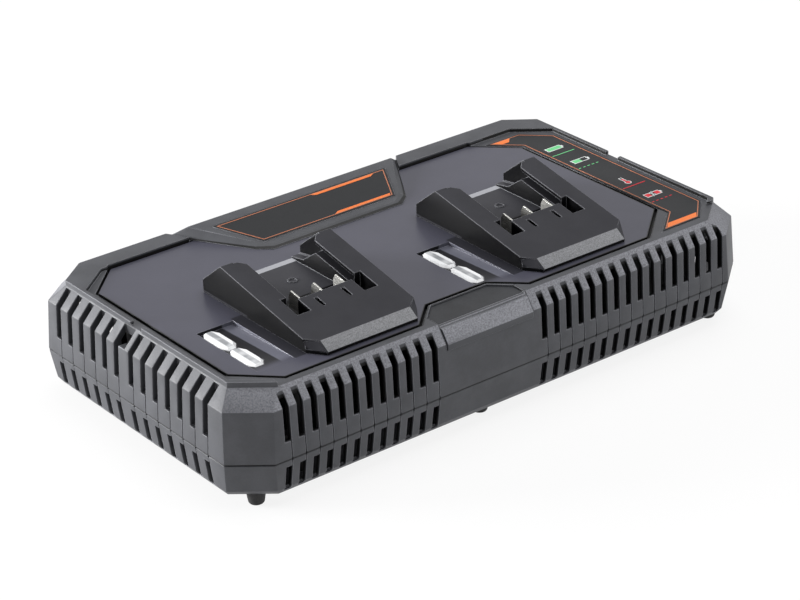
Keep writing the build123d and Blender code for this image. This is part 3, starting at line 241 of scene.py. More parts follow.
class Graph(Tree):
    """One material's nodes around a Principled shader."""

    def __init__(self, name: str) -> None:
        """Starts an empty material.

        Args:
            name: The material's name.
        """
        self.material = bpy.data.materials.new(name)
        super().__init__(self.material)
        self.shader = self.node("ShaderNodeBsdfPrincipled")
        self.node("ShaderNodeOutputMaterial", values={"Surface": self.shader.outputs["BSDF"]})
        self.place = self.node("ShaderNodeTexCoord").outputs["Object"]

    @cached_property
    def facing(self) -> bpy.types.NodeSocket:
        """The face's normal."""
        return self.node("ShaderNodeNewGeometry").outputs["Normal"]

    @cached_property
    def directions(self) -> tuple[Wire, Wire, Wire]:
        """The normal's parts along X, Y and Z."""
        return self.axes(self.facing)

    @cached_property
    def millimetres(self) -> tuple[Wire, Wire, Wire]:
        """The place on the part in millimetres."""
        x, y, z = self.axes(self.place)
        return x * TO_MM, y * TO_MM, z * TO_MM

    @cached_property
    def level(self) -> Wire:
        """1 on level faces and 0 on sloped ones."""
        return self.directions[2].ease(0.92, 0.98)

    @cached_property
    def sloped(self) -> Wire:
        """1 on sloped and level faces and 0 on upright ones."""
        return self.directions[2].ease(0.3, 0.5)

    def axes(self, vector: bpy.types.NodeSocket) -> tuple[Wire, Wire, Wire]:
        """Returns a vector's three parts."""
        parts = self.node("ShaderNodeSeparateXYZ", values={"Vector": vector}).outputs
        return Wire(self, parts[0]), Wire(self, parts[1]), Wire(self, parts[2])

    def noise(self, vector: object, scale: float, detail: float, roughness: float) -> Wire:
        """Adds noise over a vector and returns it, 0 to 1."""
        values = {"Vector": vector, "Scale": scale, "Detail": detail, "Roughness": roughness}
        return Wire(self, self.node("ShaderNodeTexNoise", values=values).outputs["Fac"])

    def grain(self, size: float, detail: float = 2.0, roughness: float = 0.5) -> Wire:
        """Returns noise over the part with specks of a size in millimetres."""
        return self.noise(self.place, TO_MM / size, detail, roughness)

    def blend(self, share: Number, first: object, second: object) -> bpy.types.NodeSocket:
        """Returns two colours mixed, with a share of the second from 0 to 1."""
        node = self.node("ShaderNodeMix", {"data_type": "RGBA"}, {0: share, 6: first, 7: second})
        return node.outputs[2]

    def coarse(self, dip: Colour, peak: Colour) -> bpy.types.NodeSocket:
        """Returns a coarse grain between two colours."""
        return self.blend(self.grain(0.7, 3.0, 0.75).ease(0.25, 0.7), dip, peak)

    def softened(self, radius: float) -> bpy.types.NodeSocket:
        """Returns the normal with edges rounded by a radius in millimetres."""
        return self.node("ShaderNodeBevel", {"samples": 6}, {"Radius": radius * MM}).outputs["Normal"]

    def edges(self, soft: bpy.types.NodeSocket) -> Wire:
        """Returns 1 on edges, where the softened normal leaves the face's own."""
        same = self.node("ShaderNodeVectorMath", {"operation": "DOT_PRODUCT"}, {0: soft, 1: self.facing})
        return (1.0 - Wire(self, same.outputs["Value"])).ease(0.004, 0.07)

    def relief(self, height: Wire, depth: float, normal: bpy.types.NodeSocket | None = None) -> None:
        """Gives the surface a fine relief.

        Args:
            height: Height, 0 to 1.
            depth: What a height of 1 stands for, in millimetres.
            normal: The normal to start from.
        """
        values: dict[str | int, object] = {"Height": height, "Distance": depth * MM, "Strength": 1.0}
        if normal is not None:
            values["Normal"] = normal
        self.set({"Normal": self.node("ShaderNodeBump", values=values).outputs["Normal"]})

    def set(self, values: Mapping[str, object]) -> None:
        """Sets or links sockets of the Principled shader."""
        self.connect(self.shader, values)


# ------------------------------------------------------------------ outlines in millimetres
@dataclass(frozen=True)
class PlateOutline:
    """The deck plate's outline in plan.

    Attributes:
        left: Left edge along X.
        right: Right edge along X.
        front: Front edge along Y.
        rear: Rear edge along Y.
        left_cut: Cut of both left corners.
        rear_cut: Cut of the rear right corner.
        front_cut: Cut of the front right corner along X and Y.
        notch: Middle of the front notch along X, half its rear edge, and its depth.
        notch_run: How far each notch side runs along X.
    """

    left: float = -135.2
    right: float = 114.4
    front: float = -72.0
    rear: float = 65.4
    left_cut: float = 17.5
    rear_cut: float = 19.5
    front_cut: Flat = (23.8, 20.5)
    notch: Point = (-13.5, 17.3, 13.6)
    notch_run: float = 14.3

    def inset(self, x: Wire, y: Wire) -> Wire:
        """Gives the distance from the outline.

        Args:
            x: Place along X.
            y: Place along Y.

        Returns:
            The distance, more than 0 on the plate.
        """
        west, east, south, north = x - self.left, self.right - x, y - self.front, self.rear - y
        half = math.sqrt(0.5)
        corners = (west + south - self.left_cut) * half
        corners = corners.least((west + north - self.left_cut) * half)
        corners = corners.least((east + north - self.rear_cut) * half)
        long, wide = self.front_cut
        span = math.hypot(long, wide)
        corners = corners.least(east * (wide / span) + south * (long / span) - long * wide / span)
        middle, room, depth = self.notch
        span = math.hypot(depth, self.notch_run)
        flank = (abs(x - middle) - room) * (depth / span) + (south - depth) * (self.notch_run / span)
        return west.least(east).least(south).least(north).least(corners).least(flank.most(south - depth))


@dataclass(frozen=True)
class CasingShape:
    """The casing's outer faces.

    Attributes:
        half: Half the length and half the width at the parting line.
        corner: Cut of the corners along X and Y.
        seam: Level of the parting line.
        wall_top: Level where the walls end and the bevels start.
        end_lean: How far the ends lean in for each millimetre over and under the parting line.
        front_lean: The same for the long walls.
        end_bevel: How far the end bevels lean in for each millimetre, and how far in they start.
        front_bevel: The same for the long bevels.
    """

    half: Flat = (150.0, 83.8)
    corner: Flat = (17.0, 14.0)
    seam: float = 24.5
    wall_top: float = 49.15
    end_lean: Flat = (0.0568, 0.145)
    front_lean: Flat = (0.0405552, 0.145)
    end_bevel: Flat = (0.926, 1.4)
    front_bevel: Flat = (0.78, 1.0)

    def within(self, side: Wire, front: Wire, slack: float = 0.0) -> Wire:
        """Gives the least distance from the ends, the long walls and the cut corners.

        Args:
            side: Distance from the ends.
            front: Distance from the long walls.
            slack: How much less the cut corners count.

        Returns:
            The distance.
        """
        span = math.hypot(*self.corner)
        across = side * (self.corner[1] / span) + front * (self.corner[0] / span)
        return side.least(front).least(across - (self.corner[0] * self.corner[1] / span + slack))

    def wall(self, z: Wire, lean: Flat, bevel: Flat) -> Wire:
        """Returns how far a wall and its bevel stand in at a level."""
        walls = ((z - self.seam) * lean[0]).most((self.seam - z) * lean[1])
        return walls.most((z - self.wall_top) * bevel[0] + bevel[1])

    def behind(self, x: Wire, y: Wire, z: Wire) -> Wire:
        """Gives the depth behind the walls' outside.

        Args:
            x: Place along X.
            y: Place along Y.
            z: Level.

        Returns:
            The depth.
        """
        side = self.half[0] - abs(x) - self.wall(z, self.end_lean, self.end_bevel)
        front = self.half[1] - abs(y) - self.wall(z, self.front_lean, self.front_bevel)
        return self.within(side, front)


# ------------------------------------------------------------------ finishes
@dataclass(frozen=True)
class Finish:
    """A material with its main colour.

    Attributes:
        name: Name of the material.
        colour: Colour of most of the surface.
    """

    name: str
    colour: Colour

    def dress(self, graph: Graph) -> None:
        """Adds the finish's nodes to its graph."""
        raise NotImplementedError

    def make(self) -> bpy.types.Material:
        """Builds the material.

        Returns:
            The material.
        """
        graph = Graph(self.name)
        self.dress(graph)
        return graph.material


@dataclass(frozen=True)
class Moulded(Finish):
    """Moulded plastic with a spark-eroded grain and slightly worn edges, lightened by a painted highlight.

    Attributes:
        rub_and_highlight: Colour of the worn edges, with their painted highlight.
        gloss: Roughness of the surface.
        grain: Size of the grain in millimetres.
        depth: Depth of the grain in millimetres.
        mottle: Strength of the uneven tone.
        radius: Radius of the rounded edges in millimetres.
        rub_and_highlight_share: Share of the edge wear and painted highlight colour on edges.
        mirror: How much the surface mirrors its surroundings.
        uneven: How much the roughness varies.
        cloud: Size of the clouds in the tone in millimetres.
        patch: Size of the patches of other roughness in millimetres.
    """

    rub_and_highlight: Colour
    gloss: float = 0.5
    grain: float = 0.35
    depth: float = 0.03
    mottle: float = 0.25
    radius: float = 0.4
    rub_and_highlight_share: float = 0.7
    mirror: float = 0.3
    uneven: float = 0.12
    cloud: float = 14.0
    patch: float = 22.0

    def tone(self, graph: Graph) -> object:
        """Gives the colour before the edge wear and painted highlight.

        Args:
            graph: The graph to add to.

        Returns:
            A colour or a colour socket.
        """
        cloud = graph.grain(self.cloud, 3.0, 0.6).ease(0.3, 0.7)
        speck = graph.grain(self.grain * 1.6, 1.0)
        darker, lighter = scaled(self.colour, 1.0 - self.mottle), scaled(self.colour, 1.0 + self.mottle)
        return graph.blend(cloud * 0.5 + speck * 0.5, darker, lighter)

    def edge_rub_and_highlight(self, graph: Graph, edge: Wire) -> Wire:
        """Returns the share of the edge wear and painted highlight colour."""
        return edge * self.rub_and_highlight_share

    def dress(self, graph: Graph) -> None:
        """Adds the colour, the worn edges with their painted highlight, and the grain.

        Args:
            graph: The graph to add to.
        """
        soft = graph.softened(self.radius)
        # worn edges, lightened by a painted highlight
        rubbed_and_highlighted = graph.blend(self.edge_rub_and_highlight(graph, graph.edges(soft)), self.tone(graph), self.rub_and_highlight)
        roughness = graph.grain(self.patch) * self.uneven + (self.gloss - self.uneven / 2)
        graph.set({"Base Color": rubbed_and_highlighted, "Roughness": roughness})
        graph.set({"IOR": 1.5, "Specular IOR Level": self.mirror})
        graph.relief(graph.grain(self.grain, 2.0, 0.6), self.depth, soft)


@dataclass(frozen=True)
class CasingPlastic(Moulded):
    """The casing's plastic: coarse with a painted highlight on the bevels, painted shade in the vents,
    gaps and rim.

    Attributes:
        shape: The casing's outer faces.
        plate: Outline of the deck plate.
        shadow: Colour of the dark parting line and of the painted shade.
        bevel: Colour of the coarse bevels, lightened by a painted highlight.
        dip: Colour in the dips of the coarse bevels.
        bevel_rows: Lowest and highest level of the bevels.
        end_bevels: How much of the coarse look and its painted highlight the end bevels lose.
        vent_rows: Lowest and highest level of the painted shade in the vents.
        ends: Where the vents in the ends start along X and stop along Y.
        end_vent_shade_cut: How much less painted shade these vents get.
        rim: Level of the rim's foot, and of the top of the painted shade on its inner face.
        right_rim: From where along X the painted shade covers the rim's inner face to its top.
        rim_width: Width of the rim, and how much less it has at the cut corners.
        gap: Width of the gap round the plate, which is painted in shade.
        gap_shadow_width: Width of the painted shadow along the gap, save at the rear.
        rear: Where the rear starts along Y.
        gap_rows: Lowest and highest level of the gap's painted shade.
        badge: Middle of the badge along X and half its width, with its gap.
        badge_from: Where the badge's slope starts along Y, and its lowest level.
        badge_dark: Strength of the painted shade lines beside the badge.
    """

    shape: CasingShape = CasingShape()
    plate: PlateOutline = PlateOutline()
    shadow: Colour = paint(9, 9, 10)
    bevel: Colour = paint(138, 139, 145)
    dip: Colour = paint(86, 87, 93)
    bevel_rows: Flat = (48.0, 57.0)
    end_bevels: float = 0.85
    vent_rows: Flat = (9.6, 56.2)
    ends: Flat = (139.5, 72.0)
    end_vent_shade_cut: float = 0.6
    rim: Flat = (57.2, 58.1)
    right_rim: float = 105.0
    rim_width: Flat = (9.2, 2.3)
    gap: float = 1.42
    gap_shadow_width: float = 1.9
    rear: float = 45.0
    gap_rows: Flat = (50.0, 57.4)
    badge: Flat = (-13.5, 24.95)
    badge_from: Flat = (-69.0, 49.0)
    badge_dark: float = 0.8

    def vents(self, graph: Graph) -> Wire:
        """Gives 1 behind the walls' outside, for painted shade in the vents.

        Args:
            graph: The graph to add to.

        Returns:
            The mask.
        """
        x, y, z = graph.millimetres
        # painted shade, deeper behind the walls' outside, weaker in the end vents
        behind = self.shape.behind(x, y, z).ease(0.55, 1.2) * z.inside(*self.vent_rows)
        return behind * (1.0 - (abs(x) > self.ends[0]) * (abs(y) < self.ends[1]) * self.end_vent_shade_cut)

    def dark(self, graph: Graph) -> Wire:
        """Gives 1 on the dark parting line and on the painted shade in the vents, the gaps and inside the
        rim.

        Args:
            graph: The graph to add to.

        Returns:
            The mask.
        """
        x, y, z = graph.millimetres
        line = 1.0 - abs(z - self.shape.seam).ease(0.25, 0.5)
        # painted shade on the rim's inner faces
        width, slack = self.rim_width
        inner = self.shape.within(self.shape.half[0] - abs(x), self.shape.half[1] - abs(y), slack) > width
        height = (z > self.rim[0]) * (z < self.rim[1]).most(x > self.right_rim)
        rim = (1.0 - graph.level) * height * inner
        # painted shadow in the gap round the plate and on a band beside it
        inset = self.plate.inset(x, y)
        gap = (inset > -self.gap).most((inset > -self.gap_shadow_width) * (y < self.rear)) * z.inside(*self.gap_rows)
        # painted shade lines beside the badge
        beside = 1.0 - abs(abs(x - self.badge[0]) - self.badge[1]).ease(0.25, 0.5)
        beside = beside * (y < self.badge_from[0]) * (z > self.badge_from[1])
        return line.most(self.vents(graph)).most(rim).most(gap).most(beside * self.badge_dark)

    def edge_rub_and_highlight(self, graph: Graph, edge: Wire) -> Wire:
        """Keeps the edge wear and painted highlight off the parting line and the vents."""
        away = abs(graph.millimetres[2] - self.shape.seam).ease(0.7, 1.1)
        return edge * self.rub_and_highlight_share * away * (1.0 - self.vents(graph))

    def tone(self, graph: Graph) -> object:
        """Gives the colour, coarse with a painted highlight on the bevels, under the parting line and
        painted shade.

        Args:
            graph: The graph to add to.

        Returns:
            A colour socket.
        """
        # coarse grain on the bevels, lightened as a painted highlight, weaker on the end bevels
        towards_ends = abs(graph.directions[0]).ease(0.3, 0.7)
        slant = graph.sloped * (1.0 - graph.level) * graph.millimetres[2].inside(*self.bevel_rows)
        slant = slant * (1.0 - towards_ends * self.end_bevels)
        plain = graph.blend(slant, super().tone(graph), graph.coarse(self.dip, self.bevel))
        # dark parting line and painted shade over the colour
        return graph.blend(self.dark(graph), plain, self.shadow)


@dataclass(frozen=True)
class BadgePlastic(Moulded):
    """The badge's plastic: a dark coarse floor, a pale coarse slope and a foot like the casing.

    Attributes:
        slope: Colour of the slope.
        dip: Colour in the slope's dips.
        foot: Colour of the upright foot.
    """

    slope: Colour = paint(144, 145, 151)
    dip: Colour = paint(94, 95, 101)
    foot: Colour = paint(70, 71, 75)

    def tone(self, graph: Graph) -> object:
        """Returns the colour by how steep the face is."""
        low = graph.blend(graph.sloped, self.foot, graph.coarse(self.dip, self.slope))
        return graph.blend(graph.level, low, super().tone(graph))


@dataclass(frozen=True)
class DeckPlastic(Moulded):
    """The deck plate's satin plastic, with painted highlight on the ramps and painted shade in the
    recesses, by the docks and along the outline.

    Attributes:
        plate: Outline of the plate.
        top: Level of the plate's top in millimetres.
        ramps: Middle of each ramp with its painted highlight along X.
        ramp_half: Half the width of a ramp.
        feet: Middle of each strip of painted shade along a dock's foot, along X.
        foot_middle: Middle of these feet along Y.
        foot_half: Half their width and half their length.
        foot_dark: Strength of their painted shade.
        pale: Colour of the painted highlight on the ramps.
        dark: Colour of the painted shade on the recess floor beside the light pipes and along the docks'
            feet.
        gap: Colour of the painted shadow on the plate's edge.
        drop: How far under the top the edge's face is painted in shadow.
        rear: Where the painted shadow along the top's outline stops along Y.
    """

    plate: PlateOutline = PlateOutline()
    top: float = 57.15
    ramps: Flat = (-107.6, 15.0)
    ramp_half: float = 3.0
    feet: Flat = (-101.6, 21.0)
    foot_middle: float = -37.0
    foot_half: Flat = (3.0, 24.5)
    foot_dark: float = 0.8
    pale: Colour = paint(98, 99, 110)
    dark: Colour = paint(34, 34, 38)
    gap: Colour = paint(8, 8, 9)
    drop: float = 0.35
    rear: float = 45.0

    def tone(self, graph: Graph) -> object:
        """Gives the colour by the place on the plate, with painted highlight and shade.

        Args:
            graph: The graph to add to.

        Returns:
            A colour socket.
        """
        x, y, z = graph.millimetres
        # painted highlight on the ramps, painted shade on the recess floor beside them
        beside = x.off(self.ramps).ease(self.ramp_half - 0.3, self.ramp_half + 0.3)
        floor = graph.blend(beside, self.pale, self.dark)
        # painted shade along each dock's foot
        wide, long = self.foot_half
        foot = 1.0 - x.off(self.feet).ease(wide - 0.4, wide + 0.4)
        foot = foot * (abs(y - self.foot_middle) < long) * self.foot_dark
        shaded = graph.blend(foot, super().tone(graph), self.dark)
        colour = graph.blend((self.top - z).ease(0.03, 0.25), shaded, floor)
        # painted shadow on the plate's edge face and along its outline
        steep = 1.0 - abs(graph.directions[2]).ease(0.3, 0.6)
        inset = self.plate.inset(x, y)
        face = steep * (z < self.top - self.drop) * (inset < 1.0)
        return graph.blend(face.most((1.0 - inset.ease(0.3, 0.6)) * (y < self.rear)), colour, self.gap)

    def edge_rub_and_highlight(self, graph: Graph, edge: Wire) -> Wire:
        """Keeps the edge wear and painted highlight off the painted shadow along the outline."""
        x, y, _ = graph.millimetres
        return edge * self.rub_and_highlight_share * (self.plate.inset(x, y) > 0.8)


@dataclass(frozen=True)
class DockPlastic(Moulded):
    """The docks' plastic: satin top, sides in painted shade and a coarse band over the front edge.

    Attributes:
        side: Colour of the painted shade on the upright faces and in the floor's front gap.
        skirt: Colour along the foot of the sides.
        skirt_drop: How far the skirt's middle is under the floor.
        band: Colour of the coarse band.
        band_front: Where the band starts, in millimetres along Y.
        floor: Level of the bay's floor in millimetres.
        step: How far over the floor a face still belongs to it.
        ramp: Where the painted highlight on the floor's rear edge starts along Y.
        gap: Where the floor ends before the platform along Y; in front of it the floor is painted in
            shade.
    """

    side: Colour = paint(7, 7, 9)
    skirt: Colour = paint(46, 46, 50)
    skirt_drop: float = 0.4
    band: Colour = paint(158, 159, 162)
    band_front: float = -63.9
    floor: float = 58.65
    step: float = 0.3
    ramp: float = 13.4
    gap: float = -17.2

    def tone(self, graph: Graph) -> object:
        """Gives the colour by the face's direction and place.

        Args:
            graph: The graph to add to.

        Returns:
            A colour socket.
        """
        across, _, up = graph.directions
        _, y, z = graph.millimetres
        # upright faces painted in shade, with a lighter line along their foot
        foot = 1.0 - abs(z - self.floor + self.skirt_drop).ease(0.25, 0.6)
        sides = graph.blend(foot, self.side, self.skirt)
        colour = graph.blend(1.0 - abs(up).ease(0.1, 0.45), super().tone(graph), sides)
        low = z < self.floor + self.step
        # painted highlight on the floor's rear ramp
        colour = graph.blend((y > self.ramp) * low * up.ease(0.5, 0.9), colour, self.rub_and_highlight)
        # painted shade in the floor's gap before the platform
        colour = graph.blend((y < self.gap) * low, colour, self.side)
        rough = graph.grain(0.55, 2.0, 0.7).ease(0.2, 0.8) * 0.6 + 0.35
        front = (y < self.band_front) * up.ease(0.25, 0.4) * (abs(across) < 0.2)
        return graph.blend(front, colour, graph.blend(rough, self.colour, self.band))


@dataclass(frozen=True)
class Film(Finish):
    """Printed label film.

    Attributes:
        gloss: Roughness of the surface.
        coat: Weight of the clear top layer.
    """

    gloss: float = 0.38
    coat: float = 0.0

    def dress(self, graph: Graph) -> None:
        """Adds the colour with fine dust, the sheen and a faint relief.

        Args:
            graph: The graph to add to.
        """
        dust = graph.grain(0.5, 2.0, 0.7).ease(0.4, 0.75)
        graph.set({"Base Color": graph.blend(dust, self.colour, scaled(self.colour, 1.25, 0.002))})
        graph.set({"Roughness": graph.grain(9.0, 3.0) * 0.12 + self.gloss, "Specular IOR Level": 0.18})
        graph.set({"Coat Weight": self.coat, "Coat Roughness": 0.25})
        graph.relief(graph.grain(0.7, 2.0), 0.012)


@dataclass(frozen=True)
class Metal(Finish):
    """Bare or plated metal with fine drawn lines.

    Attributes:
        gloss: Roughness of the surface.
        drawn: Size of the drawn lines in millimetres.
        radius: Radius of the rounded edges in millimetres.
        metal: Share of the metallic look, less for dull plating.
    """

    gloss: float = 0.25
    drawn: float = 0.2
    radius: float = 0.2
    metal: float = 1.0

    def dress(self, graph: Graph) -> None:
        """Adds the colour, the gloss and the drawn lines.

        Args:
            graph: The graph to add to.
        """
        stretch = {"Vector": graph.place, "Scale": (1.0, 0.06, 1.0)}
        long = graph.node("ShaderNodeMapping", values=stretch).outputs["Vector"]
        line = graph.noise(long, TO_MM / self.drawn, 1.0, 0.5)
        colour = graph.blend(line.ease(0.3, 0.7), scaled(self.colour, 0.72), self.colour)
        graph.set({"Base Color": colour, "Metallic": self.metal})
        graph.set({"Roughness": line * 0.15 + (self.gloss - 0.07)})
        graph.relief(line, 0.01, graph.softened(self.radius))


@dataclass(frozen=True)
class Clear(Finish):
    """Milky clear plastic of the light pipes: bright facets round a greyer streaked core.

    Attributes:
        core: Colour seen down into the core.
        middles: Middle of each row of light pipes along X, in millimetres.
        halfway: Half the core's width.
        radius: Radius of the rounded edges in millimetres.
    """

    core: Colour
    middles: Flat = (-119.8, 2.8)
    halfway: float = 1.5
    radius: float = 0.25

    def dress(self, graph: Graph) -> None:
        """Adds the facets, the core and a clear coat.

        Args:
            graph: The graph to add to.
        """
        side = graph.millimetres[0].off(self.middles)
        top = graph.directions[2].ease(0.9, 0.98)
        streak = (1.0 - side.ease(self.halfway - 0.5, self.halfway + 0.4)) * top
        cloudy = graph.grain(6.0, 1.0).ease(0.35, 0.7)
        inside = graph.blend(cloudy * 0.5, self.core, self.colour)
        graph.set({"Base Color": graph.blend(streak, self.colour, inside), "IOR": 1.49})
        graph.set({"Roughness": graph.grain(3.0) * 0.1 + 0.15, "Coat Weight": 0.3, "Coat Roughness": 0.05})
        graph.relief(graph.grain(4.0, 1.0), 0.01, graph.softened(self.radius))


@dataclass(frozen=True)
class Plain(Finish):
    """A small part's finish with a mottled tone, such as rubber, ferrite or a sleeve.

    Attributes:
        other: The second tone of the mottle.
        gloss: Roughness of the surface.
        grain: Size of the mottle in millimetres.
        depth: Depth of the relief in millimetres.
    """

    other: Colour
    gloss: float = 0.6
    grain: float = 0.8
    depth: float = 0.03

    def dress(self, graph: Graph) -> None:
        """Adds the mottled colour and its relief.

        Args:
            graph: The graph to add to.
        """
        mottle = graph.grain(self.grain, 3.0, 0.6)
        graph.set({"Base Color": graph.blend(mottle.ease(0.35, 0.65), self.colour, self.other)})
        graph.set({"Roughness": graph.grain(self.grain * 5) * 0.12 + (self.gloss - 0.06)})
        graph.relief(mottle, self.depth)


@dataclass(frozen=True)
class Laminate(Finish):
    """Circuit board: solder mask over copper tracks.

    Attributes:
        track: Colour where copper lies under the mask.
        pitch: Distance of the tracks in millimetres.
    """

    track: Colour
    pitch: float = 2.54

    def dress(self, graph: Graph) -> None:
        """Adds the tracks, which run along X or Y by area.

        Args:
            graph: The graph to add to.
        """
        x, y, _ = graph.millimetres
        turn = 2 * math.pi / self.pitch
        area = graph.grain(30.0, 0.0) > 0.5
        copper = ((x * turn).wave() * area + (y * turn).wave() * (1.0 - area)).ease(0.2, 0.4)
        graph.set({"Base Color": graph.blend(copper, self.colour, self.track)})
        graph.set({"Roughness": 0.3 + copper * 0.1})
        graph.relief(copper, 0.035)


INK_COLOURS = {
    "orange_ink": paint(226, 118, 58),
    "peach_ink": paint(176, 112, 84),
    "green_ink": paint(104, 190, 128),
    "red_ink": paint(204, 48, 58),
    "white_ink": paint(214, 216, 216),
}
FINISHES: tuple[Finish, ...] = (
    CasingPlastic(
        "casing_plastic", paint(70, 71, 75), paint(160, 161, 167),
        grain=0.45, depth=0.035, mottle=0.22, radius=0.35, rub_and_highlight_share=0.75,
    ),
    DeckPlastic(
        "deck_plastic", paint(71, 71, 82), paint(170, 170, 182),
        gloss=0.3, grain=0.3, depth=0.008, mottle=0.06, radius=0.3, uneven=0.03,
    ),
    DockPlastic(
        "dock_plastic", paint(54, 54, 58), paint(150, 151, 156),
        gloss=0.45, grain=0.3, depth=0.014, mottle=0.12, rub_and_highlight_share=0.9, mirror=0.06,
    ),
    Moulded("black_plastic", paint(16, 16, 18), paint(50, 50, 52), gloss=0.45),
    Moulded("fan_plastic", paint(14, 14, 15), paint(40, 40, 42), gloss=0.4),
    BadgePlastic(
        "badge_plastic", paint(44, 45, 48), paint(130, 131, 136),
        gloss=0.55, grain=0.7, depth=0.08, mottle=0.35, radius=0.3,
    ),
    Film("label_film", paint(30, 31, 33)),
    Metal("contact_metal", paint(222, 221, 216), metal=0.55),
    Metal("screw_steel", paint(176, 176, 178), gloss=0.32),
    Metal("sink_aluminium", paint(84, 85, 87), gloss=0.5, drawn=0.5),
    Clear("clear_plastic", paint(240, 241, 243), paint(140, 142, 146)),
    Plain("foot_rubber", paint(22, 22, 23), paint(34, 34, 35), gloss=0.75),
    Laminate("board_laminate", paint(6, 20, 15), paint(14, 34, 24)),
    Plain("led_epoxy", paint(210, 70, 50), paint(190, 50, 40), gloss=0.2),
    Plain("ferrite", paint(44, 44, 46), paint(62, 62, 64), gloss=0.7),
    Plain("winding_tape", paint(196, 160, 40), paint(170, 130, 30), gloss=0.35, grain=2.0),
    Plain("fuse_glass", paint(214, 216, 214), paint(190, 194, 190), gloss=0.1, grain=3.0, depth=0.01),
    Plain("capacitor_sleeve", paint(24, 30, 60), paint(30, 38, 74), gloss=0.35, grain=3.0),
    Plain("lead_sleeve", paint(30, 30, 31), paint(44, 44, 46), gloss=0.5, grain=1.0),
    *(Film(name, colour, gloss=0.42, coat=0.1) for name, colour in INK_COLOURS.items()),
)
Materials = dict[str, bpy.types.Material]


def dress_frame(materials: Materials) -> None:
    """Gives every node of the frame its slot's material.

    Args:
        materials: The materials by name.
    """
    for node, slot in SLOTS.items():
        mesh = frame["nodes"][node].data
        mesh.materials.clear()
        mesh.materials.append(materials[slot])
        LOG.info("%s dressed as %s", node, slot)


# ------------------------------------------------------------------ mesh building
def put(name: str, data: bpy.types.ID) -> bpy.types.Object:
    """Puts a mesh, a lamp or a camera into the scene.

    Args:
        name: The new object's name.
        data: What it shows.

    Returns:
        The object.
    """
    piece = bpy.data.objects.new(name, data)
    bpy.context.scene.collection.objects.link(piece)
    return piece


def build(name: str, corners: Sequence[Point], faces: Sequence[Sequence[int]]) -> bpy.types.Object:
    """Makes a mesh piece from corners in millimetres.

    Args:
        name: The piece's name.
        corners: Its corners.
        faces: Its faces, by corner.

    Returns:
        The new object, in the scene.
    """
    mesh = bpy.data.meshes.new(name)
    mesh.from_pydata([tuple(c * MM for c in corner) for corner in corners], [], faces)
    shape = bmesh.new()
    shape.from_mesh(mesh)
    bmesh.ops.recalc_face_normals(shape, faces=shape.faces)
    shape.to_mesh(mesh)
    shape.free()
    return put(name, mesh)


def finish_piece(piece: bpy.types.Object, material: bpy.types.Material) -> None:
    """Dresses a piece and lets it ride on the charger.

    Args:
        piece: The piece.
        material: Its material.
    """
    piece.data.materials.append(material)
    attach(piece, BODY)
    LOG.info("%s made, rides on %s", piece.name, BODY)


@dataclass(frozen=True)
class Softened:
    """A frame node's own shape with real rounded edges, which stands for the node.

    Attributes:
        node: The node.
        radius: Radius of the edges in millimetres.
        steps: Faces across an edge.
        sharp: Smallest angle of an edge that is rounded, in degrees.
        crease: Smallest angle that still shows as a crease afterwards, in degrees.
        weld: Distance up to which corners are joined, in millimetres.
    """

    node: str
    radius: float
    steps: int = 2
    sharp: float = 28.0
    crease: float = 20.0
    weld: float = 0.002

    def outline(self) -> bpy.types.Mesh:
        """Copies the node's mesh as one closed skin.

        Returns:
            The copy.
        """
        mesh = bpy.data.meshes.new(f"{self.node}_form")
        shape = bmesh.new()
        shape.from_mesh(frame["nodes"][self.node].data)
        bmesh.ops.remove_doubles(shape, verts=shape.verts, dist=self.weld * MM)
        shape.to_mesh(mesh)
        shape.free()
        if "custom_normal" in mesh.attributes:
            mesh.attributes.remove(mesh.attributes["custom_normal"])
        return mesh

    def make(self, materials: Materials) -> None:
        """Makes the piece.

        Args:
            materials: The materials by name.
        """
        piece = put(f"{self.node}_form", self.outline())
        rounding = piece.modifiers.new("rounding", "BEVEL")
        rounding.width = self.radius * MM
        rounding.segments = self.steps
        rounding.limit_method = "ANGLE"
        rounding.angle_limit = math.radians(self.sharp)
        rounding.use_clamp_overlap = False
        bpy.context.view_layer.update()
        shown = piece.evaluated_get(bpy.context.evaluated_depsgraph_get())
        mesh = bpy.data.meshes.new_from_object(shown)
        mesh.polygons.foreach_set("use_smooth", [True] * len(mesh.polygons))
        mesh.set_sharp_from_angle(angle=math.radians(self.crease))
        piece.modifiers.clear()
        piece.data = mesh
        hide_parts(self.node)
        finish_piece(piece, materials[SLOTS[self.node]])


def around(count: int) -> list[tuple[int, int]]:
    """Returns each corner of a closed outline with the next one."""
    return [(i, (i + 1) % count) for i in range(count)]


def box(low: Flat, high: Flat) -> list[Flat]:
    """Returns the corners of a rectangle."""
    return [low, (high[0], low[1]), high, (low[0], high[1])]


def circle(centre: Flat, radius: float, steps: int = 20) -> list[Flat]:
    """Returns points round a circle."""
    turns = [2 * math.pi / steps * i for i in range(steps)]
    return [(centre[0] + radius * math.cos(turn), centre[1] + radius * math.sin(turn)) for turn in turns]


def shrink(outline: Sequence[Flat], distance: float) -> list[Flat]:
    """Moves every side of an outline inwards, with mitred corners.

    Args:
        outline: Corners in plan, in either direction.
        distance: How far, in millimetres.

    Returns:
        The moved corners.
    """
    area = sum(a[0] * b[1] - b[0] * a[1] for a, b in zip(outline, [*outline[1:], outline[0]]))
    turn = math.copysign(1.0, area)
    narrowest = 0.2  # keeps a very sharp corner's mitre short
    moved = []
    for i, j in around(len(outline)):
        before, here, after = Vector(outline[i - 1]), Vector(outline[i]), Vector(outline[j])
        first, second = (here - before).normalized(), (after - here).normalized()
        mitre = Vector((-first.y - second.y, first.x + second.x)) * turn
        mitre = mitre * (distance / max(narrowest, mitre.length_squared / 2))
        moved.append((here.x + mitre.x, here.y + mitre.y))
    return moved


